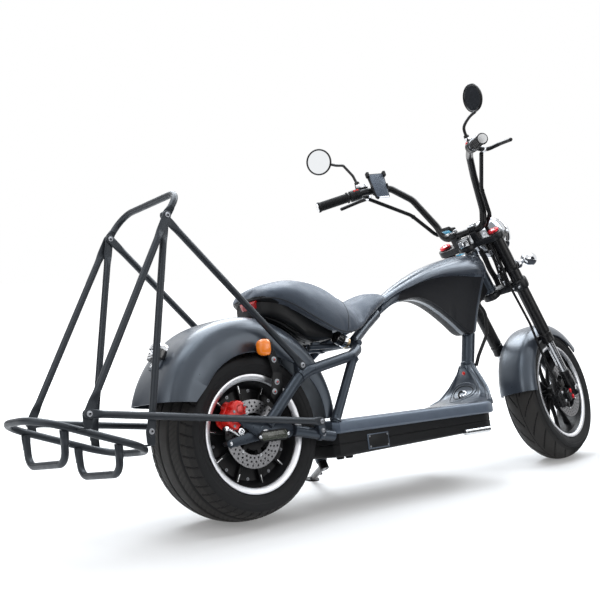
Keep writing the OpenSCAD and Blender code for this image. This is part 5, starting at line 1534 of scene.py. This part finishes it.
addPiece("brakeLevers", "steering", fork, [(both(loft(leverRings)), forkBlack), (both(leverTip), forkBlack)],
    ["brake_levers"])
addScrews("leverScrews", "steering", fork, [((921, s * 246, 1060.5), (0, 0, 1)) for s in (1, -1)],
    brightSteel, 4, 3)

# mirrors: round cups on bent stems, glass let into the face
mirrors = {"rows": [((805, 345, 1210), (-0.93, -0.30, -0.20),
    [(850, 233, 1092), (845, 240, 1124, 20), (836, 266, 1172, 12)], (12, -45, -25)),
    ((860, -285, 1212), (-0.90, 0.42, -0.12), [(850, -233, 1092), (838, -238, 1122, 20),
    (848, -258, 1150, 12)], (0, 16, -45))]}
mirrorParts, glassParts = [], []
for place, face, stemRows, pull in mirrors["rows"]:
    norm, pullTo = Vector(face).normalized(), Vector(pull)
    rimDir = (pullTo - norm * pullTo.dot(norm)).normalized()
    out, join = Vector(place) + rimDir * 66, Vector(place) + rimDir * 46
    bends = stemRows + [(*out, 10), tuple(join)]
    mirrorParts.append(tube(rounded(bends, 8) if place[1] > 0
        else spline([p[:3] for p in bends[:-2]] + [tuple(join)], 8), 5, 14, 1))
    mirrorParts.append(lathe(place, face, [(0, -9.5), (22, -9), (38, -6.6), (45.5, -2), (48, 2.2), (48, 6),
        (46.4, 7.8), (43.4, 7.8), (42, 6), (42, 4.4), (0, 4.4)], 56))
    glassParts.append(lathe(place, face, [(0, 4.6), (20, 4.7), (42, 4.9), (42, 4.2), (0, 4.2)], 56))
    mirrorParts.append(lathe(stemRows[0], (0, 0, 1), [(0, -3), (9, -3), (9, 5), (7, 7), (0, 7)], 6))
addPiece("mirrors", "steering", fork, [(merge(*mirrorParts), forkBlack), (merge(*glassParts), mirrorGlass)],
    ["mirrors"])

# phone holder: a cradle plate with corner jaws on a bar clamp
phonePlace = fork @ at(915, 196.7, 1061.7) @ turn("Z", 149.3) @ turn("X", 15)
cradleLine = [(-28, 56), (28, 56), (33, 43), (27, -44), (21, -50), (-21, -50), (-27, -44), (-33, 43)]
cradle = [plate(cradleLine, 17.2, 26, 2), roundBox((-38, 19, 40), (-27, 35, 60), 3),
    roundBox((27, 19, 40), (38, 35, 60), 3), roundBox((-33, 19, -10), (-27, 32, 8), 2.5),
    roundBox((27, 19, -10), (33, 32, 8), 2.5)]
pads = [plate(inset(cradleLine, 4), 25.6, 28.4, 1)]
lipBar = roundBox((-18, 21, -54), (18, 34, -47), 2)
clampRing = placed(turned([(13.2, -15), (17, -15), (18, -14), (18, 14), (17, 15), (13.2, 15)], 32, True),
    turn("Z", 90) @ turn("X", 2.5))
neck = roundBox((-9, 13, -9), (9, 18, 9), 2)
addPiece("phoneHolder", "steering", phonePlace, [(merge(*cradle), blackPlastic), (merge(*pads), seatLeather),
    (lipBar, lipAlloy), (clampRing, blackPlastic), (neck, blackPlastic)], ["phone_holder"])
addScrews("phoneScrews", "steering", phonePlace, [((x, 12, 17.6), (0, 0, 1)) for x in (-8, 8)], brightSteel,
    3, 2.4)

# headlamp: chrome bowl with a bezel and a fluted lens
lampAt, bulletAt, ahead = (1270, 0, 845), (1277, 140, 721), (1, 0, 0)
forkToHead = head.inverted() @ fork
bowl = lathe(lampAt, ahead, [(0, -58), (16, -57), (32, -52), (50, -40), (63, -24), (70, -8), (72, 6), (0, 6)],
    64)
bezel = lathe(lampAt, ahead, [(66, 2), (73, 2), (76, 6), (76.5, 30), (77, 32), (77, 42), (75, 46), (71, 47.5),
    (69.5, 46), (69.5, 42), (0, 42), (0, 6)], 64)
lens = lathe(lampAt, ahead, [(0, 51.5), (20, 51), (45, 48.6), (60, 45.4), (69.4, 41.8), (0, 41.8)], 64)
seam = lathe(lampAt, ahead, [(75.6, 16), (77, 17), (77, 25), (75.6, 26)], 64)
addPiece("headlamp", "steering", fork, [(bowl, smokeChrome), (bezel, chrome), (lens, clearLens),
    (seam, glossBlack)], ["headlamp"], sharp=30)
lampMid = forkToHead @ Vector(lampAt)
stayEnds = ((63.5, 612), (lampMid.x + 6, lampMid.z - 3))
addPiece("lampStays", "steering", head, [(both(plate(strap(*stayEnds, 10), 80.3, 84.3, 1.2)), forkBlack)])
addScrews("lampScrews", "steering", head,
    [((u, s * 84.6, z), (0, s, 0)) for u, z in stayEnds for s in (1, -1)], chrome, 5, 3.6)

# front indicators: chrome bullets with amber lenses, on stalks from the fork
bullet = both(lathe(bulletAt, ahead, [(0, -38), (6, -37), (13, -32), (19, -23.5), (23, -11), (24, 0),
    (24, 19), (22.5, 20), (0, 20)], 40))
bulletLens = both(lathe(bulletAt, ahead, [(0, 19.4), (22.6, 19.4), (22, 23), (17, 27.6), (9, 29.6), (0, 30)],
    40))
root = Vector((legs["u"], legs["y"], 520))
reachOut = (forkToHead @ Vector(bulletAt) - root).normalized()
addPiece("frontSignals", "steering", fork, [(bullet, chrome), (bulletLens, amberLens)], ["front_signals"],
    sharp=30)
stalks = both(lathe(root + reachOut * 22, reachOut, [(0, 0), (11, 0), (16, 4), (18, 11), (16, 18), (9, 24),
    (6.5, 30), (6.5, 60), (0, 60)], 28))
rings = both(lathe(root, (0, 0, 1), [(22.1, -9), (24, -9), (24.6, -8), (24.6, 8), (24, 9), (22.1, 9)], 36))
addPiece("signalStalks", "steering", head, [(stalks, chrome), (rings, forkBlack)])

# front fender with its two pegs to the fork legs
frontFender = {"radius": 261.0, "half": 72.0, "corner": 46.0, "edge": 212.0, "thick": 3.0, "start": 13.0,
    "sweep": 135.0}
pegs = both(rod((0, 66, 226), (0, 79.4, 226), 9, 24, 0.8))
addPiece("frontFender", "steering", frontHub, [(fenderShape(frontFender, 72), fenderPaint),
    (pegs, forkBlack)], ["front_fender"], sharp=40)

# front brake
jaw = [(-104, -16), (-98, -20), (-62, -20), (-56, -12), (-46, -8), (-44, 8), (-46, 34), (-54, 42), (-92, 42),
    (-102, 34), (-104, 20)]
outer, inner = plate(jaw, -96, -81, 3), plate(jaw, -67, -58, 3)
bridgeFront = roundBox((-104, -84, -14), (-94, -64, 36), 2.5)
caliperArm = roundBox((-62, -108, -20), (-20, -92, 18), 4)
addPiece("frontCaliper", "steering", frontHub, [(outer, forkBlack), (inner, forkBlack),
    (bridgeFront, forkBlack), (caliperArm, forkBlack)], ["front_caliper"])
addScrews("frontCaliperScrews", "steering", frontHub,
    [((x, -108.4, z), (0, -1, 0)) for x, z in ((-34, 10), (-34, -14))], redAnodised, 7, 5, 6)
addScrews("frontJawScrews", "steering", frontHub, [((-74, -96.6, z), (0, -1, 0)) for z in (-6, 28)],
    brightSteel, 5, 3.6)

# control cables: one sleeve down each side of the bar, and the brake hose to the front caliper
cables = {"sleeve": [(915, 239, 1042), (1030, 150, 961, 80), (1111, 117, 884, 40), (1144.7, 74, 857.2, 12),
    (1157.1, 74, 834.9)], "hose": [(1127.5, -80, 788.5), (1175, -86, 691, 90), (1200, -86, 622, 60),
    (1280, -86, 492, 80), (1316, -86, 388, 80), (1352, -86, 310, 60), (1385, -86, 250.6)],
    "ties": (0.3, 0.62)}
sleeveShape = both(tube(rounded(cables["sleeve"], 10), 7, 16, 1))
hoseShape = tube(rounded(cables["hose"], 10), 4.5, 14, 1)
addPiece("controlCables", "steering", fork, [(sleeveShape, cableSheath), (hoseShape, cableSheath)],
    ["control_cables"])
ties, line = [], rounded(cables["sleeve"], 10)
for i in [int(t * (len(line) - 1)) for t in cables["ties"]]:
    ties.append(lathe(line[i], line[i + 1] - line[i], [(7, -2.5), (8.2, -2.5), (8.2, 2.5), (7, 2.5)], 20))
loomPaths = [[(-2, 60, 636), (-16, 66, 596), (-8, 58, 548), (4, 62, 500), (14, 64, 466)],
    [(30, -58, 636), (28, -62, 590), (8, -66, 540), (0, -62, 490), (8, -64, 466)],
    [(36, -52, 638), (34, -56, 600), (26, -60, 556), (20, -60, 510), (18, -56, 466)],
    [(18, 40, 638), (26, 52, 590), (12, 56, 540), (22, 52, 466)]]
for k in range(6):   # a fuller bundle beside the right fork tube
    u, y = 28 + 4 * k, -60 - 4 * (k % 3)
    loomPaths.append([(u + 6, y, 636), (u + 4, y - 4, 595), (u, y, 550), (u - 16, y - 5, 505),
        (u - 22, y - 2, 466)])
loom = merge(*[tube(spline(path, 6), 4.2, 10, 0.6) for path in loomPaths])
joinerSpots = [(-14, 64, 580), (30, -64, 600), (34, -64, 576), (22, -66, 540), (-4, -66, 516), (16, 54, 560),
    (42, -66, 610), (30, -68, 556), (24, -68, 512), (6, -66, 484)]
joiners = merge(*[roundBox((-6, -5, -10), (6, 5, 10), 1.6,
    at(*p) @ turn("Y", 12 * (i % 3 - 1)) @ turn("X", 16 * (i % 2))) for i, p in enumerate(joinerSpots)])
addPiece("cableLoom", "steering", head, [(loom, cableSheath), (joiners, brightSteel)])
headWires = []   # wiring that hugs the head tube and stays with the frame
for k, (u, y) in enumerate(((8, -37), (15, -36), (22, -34), (30, -31), (19, -43))):
    headWires.append(tube(spline([(u, y, 627), (u + 2, y - 1.5 * (k % 2), 590), (u - 1, y, 550),
        (u + 2, y - 1, 510), (u, y, 480)], 6), 4, 10, 0.8))
addPiece("headWires", "frame", headTubePlace, [(merge(*headWires), cableSheath)])
addPiece("cableTies", "steering", fork, [(both(merge(*ties)), blackPlastic)])
print("front end made")

# plain pale floor and soft studio light
studio = {"fill": 0.42, "floorGlow": 0.2, "floorTone": 0.75, "floorHalf": 30.0, "glowFrom": 1.35,
    "glowTo": 2.9, "cool": (0.90, 0.95, 1.0), "white": (1.0, 1.0, 1.0), "card": (0.05, 0.053, 0.06, 1)}
world = bpy.data.worlds.new("studio")
scene.world = world
world.use_nodes = True
wt = world.node_tree
wt.nodes.clear()


def seenDirectly(tree):
    path = tree.nodes.new("ShaderNodeLightPath")
    one = addNode(tree, "ShaderNodeMath", {0: path.outputs["Is Camera Ray"],
        1: path.outputs["Is Glossy Ray"]}, operation="MAXIMUM")
    return addNode(tree, "ShaderNodeMath", {0: one.outputs[0], 1: path.outputs["Is Transmission Ray"]},
        operation="MAXIMUM")


seen = seenDirectly(wt)
strength = addNode(wt, "ShaderNodeMapRange", {"Value": seen.outputs[0], "To Min": studio["fill"],
    "To Max": 1.0})
sky = addNode(wt, "ShaderNodeBackground", {"Color": (1, 1, 1, 1), "Strength": strength.outputs[0]})
addNode(wt, "ShaderNodeOutputWorld", {"Surface": sky.outputs[0]})

floorMat = bpy.data.materials.new("paleFloor")
floorMat.use_nodes = True
ft = floorMat.node_tree
ft.nodes.clear()
seen = seenDirectly(ft)
tone = studio["floorTone"]
matte = addNode(ft, "ShaderNodeBsdfDiffuse", {"Color": (tone, tone, tone, 1)})
spotCoords = ft.nodes.new("ShaderNodeTexCoord")
away = addNode(ft, "ShaderNodeVectorMath", {0: spotCoords.outputs["Object"]}, operation="LENGTH")
fade = addNode(ft, "ShaderNodeMapRange", {"Value": away.outputs["Value"], "From Min": studio["glowFrom"],
    "From Max": studio["glowTo"], "To Min": studio["floorGlow"], "To Max": 1.0},
    interpolation_type="SMOOTHSTEP")
level = addNode(ft, "ShaderNodeMath", {0: seen.outputs[0], 1: fade.outputs[0]}, operation="MULTIPLY")
lit = addNode(ft, "ShaderNodeEmission", {"Color": (1, 1, 1, 1), "Strength": level.outputs[0]})
add = addNode(ft, "ShaderNodeAddShader", {0: matte.outputs[0], 1: lit.outputs[0]})
addNode(ft, "ShaderNodeOutputMaterial", {"Surface": add.outputs[0]})
floorMesh = bpy.data.meshes.new("floor")
far = studio["floorHalf"]
floorMesh.from_pydata([(-far, -far, 0), (far, -far, 0), (far, far, 0), (-far, far, 0)], [], [(0, 1, 2, 3)])
floorMesh.materials.append(floorMat)
floor = bpy.data.objects.new("floor", floorMesh)
scene.collection.objects.link(floor)


def softLight(name, place, target, size, power, tint):
    data = bpy.data.lights.new(name, "AREA")
    data.shape, data.size, data.size_y, data.energy, data.color = "RECTANGLE", size[0], size[1], power, tint
    obj = bpy.data.objects.new(name, data)
    obj.location = place
    obj.rotation_euler = (Vector(target) - Vector(place)).to_track_quat("-Z", "Y").to_euler()
    obj.visible_camera = False
    scene.collection.objects.link(obj)


# rows: name, place, target, size, watts, tint
lightRows = [("overhead", (-0.2, 0.6, 3.1), (0, 0, 0.3), (3.4, 1.9), 84, "cool"),
             ("frontTop", (2.3, -0.1, 2.8), (0, 0, 0.5), (2.2, 1.6), 62, "cool"),
             ("farLeft", (0.9, 2.4, 3.0), (0, 0, 0.4), (2.6, 1.6), 84, "cool"),
             ("cameraLeft", (-3.2, -1.0, 2.2), (0, 0, 0.5), (1.6, 1.6), 18, "white"),
             ("rightFill", (1.6, -3.2, 1.5), (0.2, 0, 0.5), (1.8, 1.4), 17, "white")]
for name, place, target, size, power, tint in lightRows:
    softLight(name, place, target, size, power, studio[tint])

# dark cards beyond the cameras, seen only in polished surfaces
cardMat = bpy.data.materials.new("darkCard")
cardMat.use_nodes = True
cardShader = cardMat.node_tree.nodes["Principled BSDF"]
cardShader.inputs["Base Color"].default_value = studio["card"]
cardShader.inputs["Specular IOR Level"].default_value = 0.0
# each row: first and last bearing, then two (radius, height) ends
cards = {"rows": ((-64, -20, (6.5, 0.1), (6.5, 3.2)), (-150, -112, (6.5, 0.1), (6.5, 2.6)),
    (128, 168, (6.5, 0.1), (6.5, 2.8)), (60, 74, (6.5, 0.5), (6.5, 2.0)), (92, 122, (6.5, 0.0), (6.5, 1.2)),
    (-150, 10, (1.0, 0.004), (6.4, 0.004))), "steps": 16}
for i, (first, last, near, far) in enumerate(cards["rows"]):
    pts, quads = [], []
    for k in range(cards["steps"] + 1):
        a = math.radians(first + (last - first) * k / cards["steps"])
        pts += [(r * math.cos(a), r * math.sin(a), z) for r, z in (near, far)]
        if k:
            quads.append((2 * k - 2, 2 * k, 2 * k + 1, 2 * k - 1))
    cardMesh = bpy.data.meshes.new("card%d" % i)
    cardMesh.from_pydata(pts, [], quads)
    cardMesh.materials.append(cardMat)
    card = bpy.data.objects.new("card%d" % i, cardMesh)
    scene.collection.objects.link(card)
    card.visible_camera = card.visible_diffuse = card.visible_shadow = False
